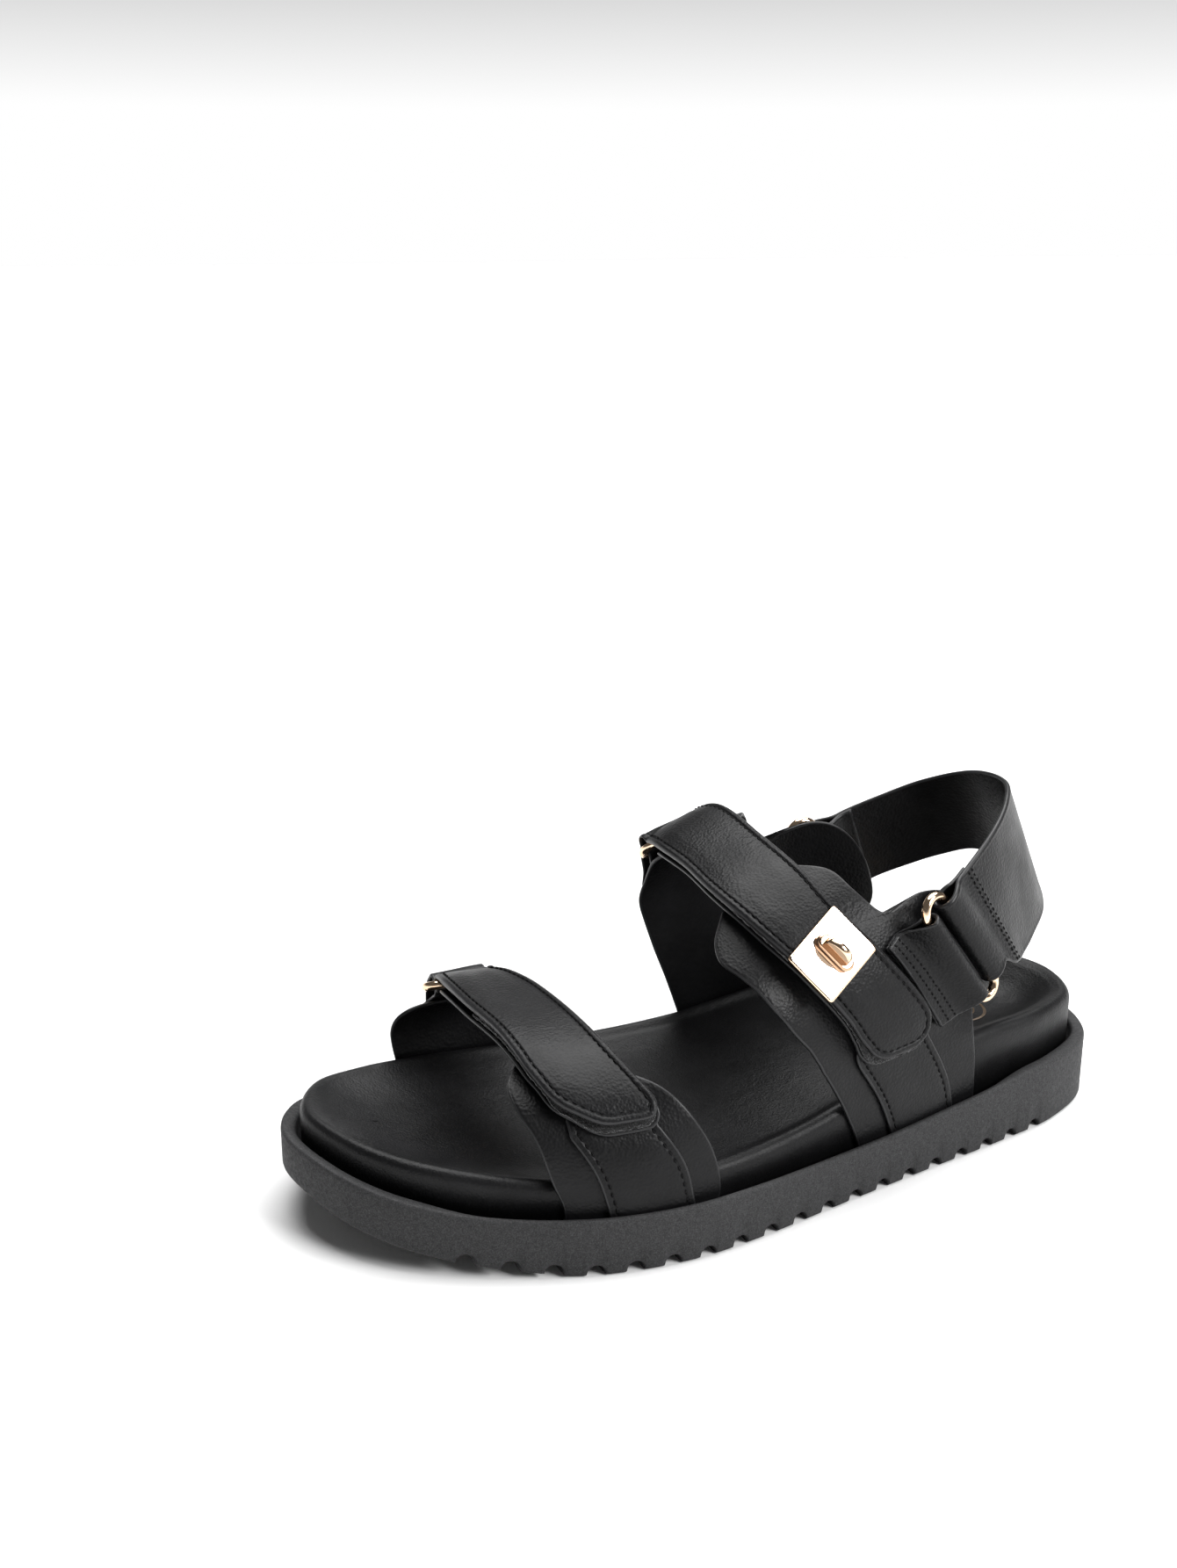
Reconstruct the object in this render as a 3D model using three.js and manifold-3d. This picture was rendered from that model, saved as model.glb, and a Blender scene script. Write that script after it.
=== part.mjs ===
// A strappy sport sandal for the left foot: cup outsole, wrapped footbed, two hook-and-loop strap groups and a heel strap.
// Millimetres. +Z up, ground at Z = 0, toe towards -Y, heel towards +Y, outer (lateral) side of the foot towards +X.
import * as THREE from "three";
import { mergeVertices } from "three/addons/utils/BufferGeometryUtils.js";
import Module from "manifold-3d";

const wasm = await Module();
wasm.setup();

// ---------------------------------------------------------------- driving dimensions
const GAP = 0.3; // clearance between pieces that touch
const OUTLINE_CENTRE_X = 2.7; // middle of the outsole's width, moved to X = 0 at the end

// The outsole seen from above, anticlockwise from the tip of the toe: [x, y].
const OUTLINE = [
  [-14, -131], [8, -125.5], [24, -114.5], [36, -99.5], [46.3, -80], [53.7, -60], [57.2, -38], [56.3, -18],
  [51, 19], [46.8, 50], [43, 80], [38.5, 103], [27, 123.5], [5, 131], [-16, 123], [-30, 104.5],
  [-36, 78], [-38, 50], [-41.5, 20], [-47, -20], [-51.5, -55], [-51, -80], [-46.5, -101], [-37, -119.5],
];

// Heights along the foot: [y, z].
const RIM_HEIGHT = [[-131, 27.5], [-121, 24.2], [-111, 21.5], [-95, 18.7], [-75, 17.2], [-30, 16.8], [27, 16.4], [61, 18.5], [92, 21.2], [131, 21.6]];
const UNDERSIDE_HEIGHT = [[-131, 15], [-121, 10], [-107, 6], [-93, 3.4], [-80, 1.4], [-66, 0], [0, 0], [131, 0]];
const FOOTBED_EDGE_HEIGHT = [[-131, 35], [-113, 31], [-91, 27.5], [-75, 25.5], [-50, 23.7], [-20, 23.7], [5, 25.6], [20, 28.3], [45, 33], [70, 36.3], [104, 36], [131, 35.5]];
const FOOTBED_FLOOR_HEIGHT = [[-131, 31.5], [-113, 27], [-91, 23], [-60, 20.5], [-20, 21.5], [5, 24], [30, 28], [60, 29.5], [95, 27.5], [131, 28.5]];
const INSTEP_HEIGHT = [[-110, 44], [-95, 47], [-79, 50], [-49, 51.5], [-30, 66], [-8, 80.5], [18, 91], [45, 99], [75, 104], [110, 106]];

const LIP_THICKNESS = 2.2; // wall of the outsole that stands round the footbed
const GROOVE_DEPTH = 6; // from the top of the lip down to the platform the footbed is glued to
const FOOTBED_INSET = 5.6; // footbed's side wall, in from the outsole's outline
const LAST_INSET = 5.3; // innermost strap surface beside the footbed
const ARCH_LEAN = 4; // how far the top of the arch leans to the inner side
const ARCH_POWER = { lateral: 2.9 }; // how square the outer shoulder of the arch is
const MEDIAL_POWER = [[-50, 3], [-12, 4.2]]; // and the inner shoulder, along the foot
const ARCH_TILT = [[-50, -1.5], [-12, 2.5], [15, 5]]; // rise towards the inner side
const WING_LEAN = 8; // of the instep quarters' loose rear wings
const COVER_THICKNESS = 1.2; // leather wrapped over the footbed's core
const BOARD_THICKNESS = 1.6; // stiff board under the core
const BOARD_INSET = 9;
const SHANK = { length: 96, width: 14, thickness: 1.4, middleY: 28 };

const TREAD = { count: 19, firstY: -97, pitch: 10.55, radius: 2.6, rise: 0.6, width: 150 };

const RING_WIRE = 1.4; // radius of the wire
const SLEEVE_HOLE = RING_WIRE + 0.9;
const SLEEVE_OUTER = SLEEVE_HOLE + 1;
const SLEEVE_CLEARANCE = 2.6; // between a sleeve and its ring's two ends together
const BAR_SPACING = 8; // between the two long bars of an adjustable strap's ring
const BAR_OFFSET = 4.9; // bars above the foot's surface

// Layers of a strap group, as distances from the foot's surface: [inner face, outer face].
const PANEL = [0, 1.2];
const OVERLAY = [1.6, 2.6];
const UNDER_STRAP = [2.9, 4.1];
const LOOP_PAD = [4.3, 5.1];
const HOOK_PAD = [5.3, 6.0];
const FLAP = [6.2, 8.4];

const FOLD_LENGTH = 11; // of a strap turned back on itself round its ring
const HEEL_RING = { wire: 1.4, barSpacing: 9, hole: 2.6, sleeve: 3.6, endClearance: 4.5 };
const TAB = { layer: [1.5, 3.3], steps: 8 };
const HEEL_STRAP_THICKNESS = 2.4;

const PLATE = { width: 17.5, height: 22.5, thickness: 1.6, hole: 2.6, bevel: 0.5, sink: 0.5 };
const KNOB = { length: 13, width: 4.6, base: 1.8, fin: 5.2, finThickness: 3, stem: 2.2, washer: 3.6 };

// ---------------------------------------------------------------- curves
// A smooth curve through [position, value] pairs, flat beyond its ends.
function smooth(pairs) {
  const n = pairs.length;
  const slope = pairs.map((_, i) => {
    const a = pairs[Math.max(i - 1, 0)];
    const b = pairs[Math.min(i + 1, n - 1)];
    return (b[1] - a[1]) / (b[0] - a[0]);
  });
  return (x) => {
    if (x <= pairs[0][0]) return pairs[0][1];
    if (x >= pairs[n - 1][0]) return pairs[n - 1][1];
    const i = pairs.findIndex((p) => p[0] > x) - 1;
    const h = pairs[i + 1][0] - pairs[i][0];
    const t = (x - pairs[i][0]) / h;
    const [p0, p1, m0, m1] = [pairs[i][1], pairs[i + 1][1], slope[i] * h, slope[i + 1] * h];
    return (2 * t ** 3 - 3 * t ** 2 + 1) * p0 + (t ** 3 - 2 * t ** 2 + t) * m0
      + (3 * t ** 2 - 2 * t ** 3) * p1 + (t ** 3 - t ** 2) * m1;
  };
}

const rimHeight = smooth(RIM_HEIGHT);
const toeSpring = smooth(UNDERSIDE_HEIGHT);
const undersideHeight = (y) => Math.max(toeSpring(y), 0);
const footbedEdgeHeight = smooth(FOOTBED_EDGE_HEIGHT);
const footbedFloorHeight = smooth(FOOTBED_FLOOR_HEIGHT);
const instepHeight = smooth(INSTEP_HEIGHT);
const medialPower = smooth(MEDIAL_POWER);
const archTilt = smooth(ARCH_TILT);
const platformHeight = (y) => rimHeight(y) - GROOVE_DEPTH;

const outlinePoints = new THREE.CatmullRomCurve3(
  OUTLINE.map(([x, y]) => new THREE.Vector3(x, y, 0)), true, "centripetal",
).getSpacedPoints(480).slice(0, -1);

// The outline moved inwards by `inset`, split into its outer and inner sides, each from toe to heel.
const insetCache = new Map();
function sidesAt(inset) {
  if (insetCache.has(inset)) return insetCache.get(inset);
  const n = outlinePoints.length;
  const moved = outlinePoints.map((p, i) => {
    const along = outlinePoints[(i + 1) % n].clone().sub(outlinePoints[(i + n - 1) % n]).normalize();
    return new THREE.Vector2(p.x - along.y * inset, p.y + along.x * inset);
  });
  const toe = moved.reduce((best, p, i) => (p.y < moved[best].y ? i : best), 0);
  const turned = moved.slice(toe).concat(moved.slice(0, toe), [moved[toe]]);
  const heel = turned.reduce((best, p, i) => (p.y > turned[best].y ? i : best), 0);
  const sides = { lateral: turned.slice(0, heel + 1), medial: turned.slice(heel).reverse() };
  insetCache.set(inset, sides);
  return sides;
}

function xAt(side, y) {
  let i = side.findIndex((p) => p.y >= y);
  if (i < 0) i = side.length - 1;
  if (i === 0) return side[0].x;
  const [a, b] = [side[i - 1], side[i]];
  return a.x + ((b.x - a.x) * (y - a.y)) / Math.max(b.y - a.y, 1e-6);
}

// ---------------------------------------------------------------- solids
function solidOf(geometry) {
  const plain = geometry.clone();
  plain.deleteAttribute("normal");
  plain.deleteAttribute("uv");
  const merged = mergeVertices(plain, 1e-4);
  const solid = new wasm.Manifold(new wasm.Mesh({
    numProp: 3,
    vertProperties: new Float32Array(merged.attributes.position.array),
    triVerts: new Uint32Array(merged.index.array),
  }));
  return solid;
}

function geometryOf(solid) {
  const mesh = solid.getMesh();
  const geometry = new THREE.BufferGeometry();
  geometry.setAttribute("position", new THREE.BufferAttribute(new Float32Array(mesh.vertProperties), 3));
  geometry.setIndex(new THREE.BufferAttribute(new Uint32Array(mesh.triVerts), 1));
  geometry.computeVertexNormals();
  return geometry;
}

function geometryFrom(points, triangles) {
  const geometry = new THREE.BufferGeometry();
  geometry.setAttribute("position", new THREE.Float32BufferAttribute(points.flatMap((p) => [p.x, p.y, p.z]), 3));
  geometry.setIndex(triangles);
  geometry.computeVertexNormals();
  return geometry;
}

// ---------------------------------------------------------------- sole
const SOLE_STATIONS = 28; // steps from toe to heel along each side

// A closed ring of points at one inset, the same number at every inset, with its height given along the foot.
function soleRing(inset, heightAt) {
  const { lateral, medial } = sidesAt(inset);
  const [y0, y1] = [lateral[0].y, lateral[lateral.length - 1].y];
  const station = (k) => y0 + ((y1 - y0) * (1 - Math.cos((Math.PI * k) / SOLE_STATIONS))) / 2;
  const ring = [];
  for (let k = 0; k <= SOLE_STATIONS; k++) {
    const y = station(k);
    ring.push(new THREE.Vector3(xAt(lateral, y), y, heightAt(y)));
  }
  for (let k = SOLE_STATIONS - 1; k > 0; k--) {
    const y = station(k);
    ring.push(new THREE.Vector3(xAt(medial, y), y, heightAt(y)));
  }
  return ring;
}

// Joins a run of rings into a closed solid; the first and last are closed by strips across the foot.
function ringStack(rings) {
  const n = rings[0].length;
  const triangles = [];
  const quad = (a, b, c, d) => triangles.push(a, b, c, a, c, d);
  for (let r = 0; r + 1 < rings.length; r++) {
    for (let k = 0; k < n; k++) {
      const next = (k + 1) % n;
      quad(r * n + k, r * n + next, (r + 1) * n + next, (r + 1) * n + k);
    }
  }
  const last = (rings.length - 1) * n;
  for (let k = 0; k < SOLE_STATIONS; k++) {
    const [a, b, c, d] = [k, k + 1, (n - k - 1) % n, (n - k) % n];
    if (b !== c) {
      triangles.push(last + a, last + b, last + c);
      triangles.push(a, c, b);
    }
    if (a !== d) {
      triangles.push(last + a, last + c, last + d);
      triangles.push(a, d, c);
    }
  }
  return geometryFrom(rings.flat(), triangles);
}

function outsole() {
  const lipTop = (y) => rimHeight(y) - 0.6;
  const body = solidOf(ringStack([
    soleRing(1.4, undersideHeight),
    soleRing(0, (y) => undersideHeight(y) + 1.8),
    soleRing(0, lipTop),
    soleRing(0.6, rimHeight),
    soleRing(LIP_THICKNESS, (y) => rimHeight(y) - 0.2),
    soleRing(LIP_THICKNESS + 0.2, platformHeight),
  ]));
  const cutters = Array.from({ length: TREAD.count }, (_, i) => {
    const y = TREAD.firstY + i * TREAD.pitch;
    const groove = new THREE.CylinderGeometry(TREAD.radius, TREAD.radius, TREAD.width, 10);
    groove.rotateZ(Math.PI / 2).translate(0, y, undersideHeight(y) + TREAD.rise);
    return solidOf(groove);
  });
  return geometryOf(cutters.reduce((left, cutter) => left.subtract(cutter), body));
}

// Heights of the footbed's upper surface, from its edge inwards, less `depth` below it.
function footbedRings(depth) {
  return [
    soleRing(FOOTBED_INSET + 0.3 + depth, (y) => footbedEdgeHeight(y) - 3 - depth * 0.3),
    soleRing(FOOTBED_INSET + 2.4 + depth * 0.6, (y) => footbedEdgeHeight(y) - 0.3 - depth),
    soleRing(FOOTBED_INSET + 6, (y) => footbedEdgeHeight(y) - 1.2 - depth),
    soleRing(FOOTBED_INSET + 13, (y) => (footbedEdgeHeight(y) + 2 * footbedFloorHeight(y)) / 3 - depth),
    soleRing(FOOTBED_INSET + 22, (y) => footbedFloorHeight(y) - depth),
  ];
}

function footbedCover() {
  const foot = (y) => platformHeight(y) + GAP;
  return ringStack([
    ...footbedRings(COVER_THICKNESS).reverse(),
    soleRing(FOOTBED_INSET + COVER_THICKNESS, foot),
    soleRing(FOOTBED_INSET, foot),
    ...footbedRings(0),
  ]);
}

// The shank follows the board it lies on; `grow` widens it into the slot cut for it in the core.
function shank(grow) {
  const { length, width, thickness, middleY } = SHANK;
  const underneath = (y) => platformHeight(y) + GAP + BOARD_THICKNESS + 2 * GAP;
  const grid = (rise) => [1, -1].map((side) => Array.from({ length: 13 }, (_, j) => {
    const y = middleY + (length + 2 * grow) * (j / 12 - 0.5);
    return new THREE.Vector3(OUTLINE_CENTRE_X + side * (width / 2 + grow), y, underneath(y) + rise);
  }));
  return gridSolid(grid(thickness + grow), grid(-grow));
}

function midsoleCore() {
  const depth = COVER_THICKNESS + 1.6 * GAP;
  const foot = (y) => platformHeight(y) + GAP + BOARD_THICKNESS + GAP;
  const core = solidOf(ringStack([
    soleRing(FOOTBED_INSET + depth, foot),
    ...footbedRings(depth),
  ]));
  return geometryOf(core.subtract(solidOf(shank(GAP))));
}

function insoleBoard() {
  const foot = (y) => platformHeight(y) + GAP;
  return ringStack([
    soleRing(BOARD_INSET, foot),
    soleRing(BOARD_INSET, (y) => foot(y) + BOARD_THICKNESS),
  ]);
}

// ---------------------------------------------------------------- the foot's surface, which every strap follows
const ARCH_STEPS = 48;

// The cross-section at y, from the groove on the outer side, over the foot, to the groove on the inner side.
const sectionCache = new Map();
function section(y) {
  const key = Math.round(y * 1000);
  if (sectionCache.has(key)) return sectionCache.get(key);
  const { lateral, medial } = sidesAt(LAST_INSET);
  const [xl, xm] = [xAt(lateral, y), xAt(medial, y)];
  const [low, edge, top] = [platformHeight(y) + 0.5, footbedEdgeHeight(y), instepHeight(y)];
  const [middle, half, tilt] = [(xl + xm) / 2, (xl - xm) / 2, archTilt(y)];
  const points = [new THREE.Vector2(xl, low)];
  for (let i = 0; i <= ARCH_STEPS; i++) {
    const angle = (Math.PI * (1 - Math.cos((Math.PI * i) / ARCH_STEPS))) / 2;
    const power = angle < Math.PI / 2 ? ARCH_POWER.lateral : medialPower(y);
    const up = Math.sin(angle) ** (2 / power);
    const out = Math.sign(Math.cos(angle)) * Math.abs(Math.cos(angle)) ** (2 / power);
    points.push(new THREE.Vector2(middle + out * half - ARCH_LEAN * up, edge + (top - edge) * up - tilt * out * up * up));
  }
  points.push(new THREE.Vector2(xm, low));
  const along = [0];
  for (let i = 1; i < points.length; i++) along.push(along[i - 1] + points[i].distanceTo(points[i - 1]));
  const made = { points, along, length: along[along.length - 1] };
  sectionCache.set(key, made);
  return made;
}

// u runs from 0 at the outer groove to 1 at the inner groove.
function footPoint(u, y) {
  const { points, along, length } = section(y);
  const s = Math.min(Math.max(u, 0), 1) * length;
  let i = along.findIndex((a) => a > s);
  if (i < 1) i = i < 0 ? points.length - 1 : 1;
  const t = (s - along[i - 1]) / (along[i] - along[i - 1]);
  const p = points[i - 1].clone().lerp(points[i], t);
  return new THREE.Vector3(p.x, y, p.y);
}

function footNormal(u, y) {
  const [du, dy] = [0.012, 1.5];
  const across = footPoint(u + du, y).sub(footPoint(u - du, y));
  const along = footPoint(u, y + dy).sub(footPoint(u, y - dy));
  return along.cross(across).normalize();
}

function onFoot(u, y, offset) {
  return footPoint(u, y).addScaledVector(footNormal(u, y), offset);
}

// The u of the surface point, raised by `offset`, that lies nearest to a point of the section at its y.
function uNear([x, y, z], offset = 0) {
  let [best, nearest] = [0, Infinity];
  for (let u = 0; u <= 1; u += 0.0025) {
    const p = onFoot(u, y, offset);
    const distance = Math.hypot(p.x - x, p.z - z);
    if (distance < nearest) [best, nearest] = [u, distance];
  }
  return best;
}

// ---------------------------------------------------------------- straps
const U_STEP = 1 / 36;
const STRAP_CROSS_STEPS = 3;

// A closed solid between two grids of points with the same numbering.
function gridSolid(outer, inner) {
  const [rows, columns] = [outer.length, outer[0].length];
  const points = [...outer.flat(), ...inner.flat()];
  const [o, n] = [(i, j) => i * columns + j, (i, j) => rows * columns + i * columns + j];
  const triangles = [];
  const quad = (a, b, c, d) => triangles.push(a, b, c, a, c, d);
  for (let i = 0; i + 1 < rows; i++) {
    for (let j = 0; j + 1 < columns; j++) {
      quad(o(i, j), o(i, j + 1), o(i + 1, j + 1), o(i + 1, j));
      quad(n(i, j), n(i + 1, j), n(i + 1, j + 1), n(i, j + 1));
    }
    quad(o(i, 0), o(i + 1, 0), n(i + 1, 0), n(i, 0));
    quad(o(i, columns - 1), n(i, columns - 1), n(i + 1, columns - 1), o(i + 1, columns - 1));
  }
  for (let j = 0; j + 1 < columns; j++) {
    quad(o(0, j), n(0, j), n(0, j + 1), o(0, j + 1));
    quad(o(rows - 1, j), o(rows - 1, j + 1), n(rows - 1, j + 1), n(rows - 1, j));
  }
  return geometryFrom(points, triangles);
}

// How far a quarter's loose rear wing leans in from the foot's surface.
const wingLean = (y, z) => WING_LEAN * THREE.MathUtils.smoothstep(y, 44, 78) * THREE.MathUtils.smoothstep(z, 37, 54);

const PANEL_CROSS_STEPS = 5;
const GIRTH = 150; // rough length of a section, so that a panel's edge curve has like units both ways

// A panel spanned by ribs, each from a point on its front edge to one on its rear edge, the first ribs at the sole.
function panel(ribs, layer, side) {
  const toSurface = (p) => new THREE.Vector3(uNear(p, layer[1]) * GIRTH, p[1], 0);
  const curve = (end) => new THREE.CatmullRomCurve3(ribs.map((rib) => toSurface(rib[end])));
  const [front, rear] = [curve(0), curve(1)];
  const steps = 2 * (ribs.length - 1);
  const order = Array.from({ length: steps + 1 }, (_, i) => (side === "lateral" ? i : steps - i) / steps);
  const grid = (offset) => order.map((t) => {
    const [a, b] = [front.getPoint(t), rear.getPoint(t)];
    return Array.from({ length: PANEL_CROSS_STEPS + 1 }, (_, j) => {
      const p = a.clone().lerp(b, j / PANEL_CROSS_STEPS);
      const u = p.x / GIRTH;
      return onFoot(u, p.y, offset - wingLean(p.y, footPoint(u, p.y).z));
    });
  });
  return gridSolid(grid(layer[1]), grid(layer[0]));
}

// A strap's edge as y against u, from points along it.
function edge(points, offset) {
  return smooth(points.map((p) => [uNear(p, offset), p[1]]).sort((a, b) => a[0] - b[0]));
}

// A strap lying on the foot between two edges, from u = `from` to u = `to`. Either end is rounded at its corners,
// with the radii [at the front edge, at the rear edge].
function strap({ from, to, front, rear, layer, roundFrom = [0, 0], roundTo = [0, 0] }) {
  const { length } = section((front((from + to) / 2) + rear((from + to) / 2)) / 2);
  const stations = new Set([from, to]);
  for (let u = Math.ceil(from / U_STEP) * U_STEP; u < to; u += U_STEP) stations.add(u);
  for (const angle of [22.5, 45, 67.5, 90]) {
    const share = 1 - Math.cos(THREE.MathUtils.degToRad(angle));
    for (const radius of roundFrom) if (radius) stations.add(from + (radius * share) / length);
    for (const radius of roundTo) if (radius) stations.add(to - (radius * share) / length);
  }
  const closeness = 0.4 / length;
  const us = [...stations].sort((a, b) => a - b)
    .filter((u, i, all) => i === 0 || i === all.length - 1 || (u - all[i - 1] > closeness && to - u > closeness));
  const corner = (radius, distance) => (distance >= radius ? 0 : radius - Math.sqrt(radius ** 2 - (radius - distance) ** 2));
  const grid = (offset) => us.map((u) => {
    const trim = (end) => corner(roundFrom[end], (u - from) * length) + corner(roundTo[end], (to - u) * length);
    const [y0, y1] = [front(u) + trim(0), rear(u) - trim(1)];
    return Array.from({ length: STRAP_CROSS_STEPS + 1 }, (_, j) => onFoot(u, y0 + ((y1 - y0) * j) / STRAP_CROSS_STEPS, offset));
  });
  return gridSolid(grid(layer[1]), grid(layer[0]));
}

// ---------------------------------------------------------------- rings and the sleeves that hold them
// A frame on the foot's surface: `bar` along the ring's long bars, `climb` up the strap away from the sole, `out` off the foot.
function ringFrame(centre, barDirection, outward, climbHint) {
  const bar = barDirection.clone().normalize();
  const out = outward.clone().addScaledVector(bar, -outward.dot(bar)).normalize();
  const climb = out.clone().cross(bar).normalize();
  if (climb.dot(climbHint) < 0) {
    climb.negate();
    bar.negate();
  }
  return { centre, bar, climb, out };
}

function placed(geometry, frame, shift = [0, 0, 0]) {
  const matrix = new THREE.Matrix4().makeBasis(frame.bar, frame.climb, frame.bar.clone().cross(frame.climb));
  matrix.setPosition(frame.centre);
  return geometry.translate(...shift).applyMatrix4(matrix);
}

// An oval ring: a torus whose two halves are pulled apart along X by the straight length of its bars.
function ovalRing(wire, barSpacing, innerLength) {
  const radius = barSpacing / 2;
  const ring = new THREE.TorusGeometry(radius, wire, 6, 16);
  const half = innerLength / 2 - radius + wire;
  const position = ring.attributes.position;
  for (let i = 0; i < position.count; i++) {
    const x = position.getX(i);
    position.setX(i, x + (Math.abs(x) < 1e-6 ? 0 : Math.sign(x) * half));
  }
  return ring;
}

function rod(radius, length, segments = 16) {
  return new THREE.CylinderGeometry(radius, radius, length, segments).rotateZ(Math.PI / 2);
}

// A leather sleeve folded round one bar of a ring, joined to the pieces it belongs to.
function withSleeve(pieces, frame, barSide, width, hole, outer) {
  const shift = [0, barSide, 0];
  let joined = solidOf(placed(rod(outer, width), frame, shift));
  for (const piece of pieces) joined = joined.add(solidOf(piece));
  return geometryOf(joined.subtract(solidOf(placed(rod(hole, width + 12), frame, shift))));
}

// ---------------------------------------------------------------- the two adjustable strap groups
// Points are [x, y, z] on a piece's outer face. `ribs` run from a panel's front edge to its rear edge, sole first.
const FOREFOOT = {
  flapCorners: [11, 4.5],
  flapEnd: [50, -60, 43.6],
  underEnd: [49, -58, 39.2],
  flapFront: [[47, -68.5, 43], [45.8, -69.2, 45.6], [42, -71.6, 48.6], [36, -73.2, 52.3], [29, -74.9, 55.4], [10, -76, 58.7], [-9, -76.8, 58.4], [-28, -76.1, 56], [-40, -74.2, 52]],
  flapRear: [[51, -43.5, 44], [49, -44.3, 48.9], [44.7, -46.2, 52.2], [35.6, -49, 56.3], [22, -50.5, 59.2], [-10, -51.3, 59.3], [-26, -53.4, 57.3], [-40, -56.1, 53]],
  ring: { front: [-41, -77.5, 49], rear: [-41.5, -51.5, 53] },
  lateralPanel: [
    [[51, -72, 12], [52, -29, 12]], [[51, -71.5, 18], [52, -27.8, 18]], [[50, -74.5, 28], [50, -30, 29]],
    [[39.2, -77.2, 38.2], [48, -34.5, 38]], [[33.3, -79.6, 43.8], [42, -41, 46]], [[26, -79.4, 48], [34, -48, 50]], [[19, -74, 50.5], [22, -57, 52]],
  ],
  medialPanel: [
    [[-45, -83, 12], [-46, -47, 12]], [[-45.5, -84.5, 20], [-46, -44, 20]], [[-46, -86.3, 30], [-46, -43.5, 30]],
    [[-46, -86.4, 35], [-46, -44.5, 36]], [[-45, -84.8, 38.5], [-45, -46, 40]], [[-44, -81, 41], [-44, -50, 43]], [[-43, -75, 42], [-43, -57, 44]],
  ],
  overlayFront: [[53, -59.5, 12], [53, -61, 20], [52, -64, 31], [48, -68.5, 41]],
  overlayRear: [[53, -36, 12], [53, -37, 19], [52, -39.5, 29], [48, -45, 39]],
  overlayEnd: [44, -57, 48],
  overlayCorner: 3,
  loopFront: [[-48, -75, 12], [-48, -75.5, 20], [-48, -78, 36], [-45, -80, 44]],
  loopRear: [[-48, -49.5, 12], [-48, -50, 20], [-48, -52, 36], [-45, -54, 44]],
};

const INSTEP = {
  flapCorners: [10, 9],
  flapEnd: [46, 33, 43.5],
  underEnd: [46, 33, 40.5],
  flapFront: [[48, 18, 48], [46, 15, 54], [42, 5.5, 66], [35, -2, 77], [25, -5, 83], [12, -6, 88], [-5, -5, 89], [-20, -4.8, 89], [-32, -3.8, 89]],
  flapRear: [[47, 44.5, 48], [48, 42.5, 55], [47, 37, 63], [45, 29.5, 73], [35, 20, 85], [23, 17.5, 93], [8, 16.5, 97], [-20, 17.2, 100], [-33, 16.6, 98]],
  ring: { front: [-37, -4.8, 84], rear: [-38.6, 21.2, 92.5] },
  lateralPanel: [
    [[47, 23, 11], [41, 68, 11]], [[47, 21.6, 16], [41, 68.4, 18]], [[46.5, 16, 28], [41, 68, 30]], [[46, 11.5, 36], [41, 67, 39]],
    [[46, 9.5, 39.5], [41, 69, 45]], [[46, 8.5, 41], [38, 75, 51]], [[46, 7.5, 43], [36, 80, 60]], [[45.5, 6, 45.5], [36, 79, 70]],
    [[45, 4, 48.5], [37, 73, 79]], [[45, 2, 51], [38, 62, 86]], [[44, -0.5, 54], [38, 50, 87.5]], [[43, -3, 57.5], [38, 43, 84.4]],
    [[41, -6, 61.5], [38, 38.7, 82.6]], [[39, -9, 67], [36, 35.5, 83]], [[36, -12, 72.5], [33, 33, 85]], [[31, -14.5, 78], [28, 30, 88.5]],
    [[24, -13, 81.5], [20, 27, 92]], [[15, -6, 86], [13, 20, 93]],
  ],
  medialPanel: [
    [[-35, 13, 11], [-33, 58, 11]], [[-36, 10.5, 20], [-34, 59, 20]], [[-38, 5.5, 36], [-35.5, 59.5, 34]], [[-39, 3, 43], [-36, 60, 41]],
    [[-39, 1.5, 47], [-35, 65, 47]], [[-39, 0.5, 50], [-33, 72, 51]], [[-39, -0.5, 53], [-31, 76, 57.5]], [[-39, -1.5, 56], [-31, 74.5, 67]],
    [[-39, -2.5, 59], [-32, 69.5, 77]], [[-39, -3.5, 62], [-33, 62, 84]], [[-39, -4, 65], [-36, 55, 86]], [[-38.5, -3.7, 68], [-38, 48, 84]],
    [[-38, -3, 71], [-38, 41, 80.5]], [[-37, -2.6, 75], [-37.5, 37, 81]], [[-35, -2.6, 79], [-36, 33, 85]], [[-31, -2.2, 82], [-33, 29.5, 91]],
    [[-25, 0, 84], [-27, 25, 95]], [[-18, 4, 87], [-19, 17, 94]],
  ],
  overlayFront: [[47, 35, 11], [47, 33.5, 16], [46, 28.8, 27], [46, 22, 38], [46, 16, 47]],
  overlayRear: [[43, 58, 11], [43, 58.4, 17], [44, 55.5, 28], [45, 47.5, 43]],
  overlayEnd: [45, 32, 48],
  overlayCorner: 8,
  loopFront: [[-38, 24, 11], [-38, 22, 20], [-40, 9, 48], [-39, 0.5, 74], [-38, -2, 80]],
  loopRear: [[-36, 48, 11], [-36.5, 47, 22], [-39, 38, 48], [-39, 27, 79], [-38, 23, 86]],
};

// The frame of an adjustable strap's ring; its u is where its middle lies on the foot.
function strapRingFrame({ front, rear }) {
  const [a, b] = [front, rear].map((end) => onFoot(uNear(end, BAR_OFFSET), end[1], BAR_OFFSET));
  const centre = a.clone().lerp(b, 0.5);
  const u = uNear(centre.toArray(), BAR_OFFSET);
  const upTheStrap = footPoint(u - 0.02, centre.y).sub(footPoint(u + 0.02, centre.y));
  const frame = ringFrame(centre, b.clone().sub(a), footNormal(u, centre.y), upTheStrap);
  return { frame, u, length: a.distanceTo(b) };
}

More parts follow.
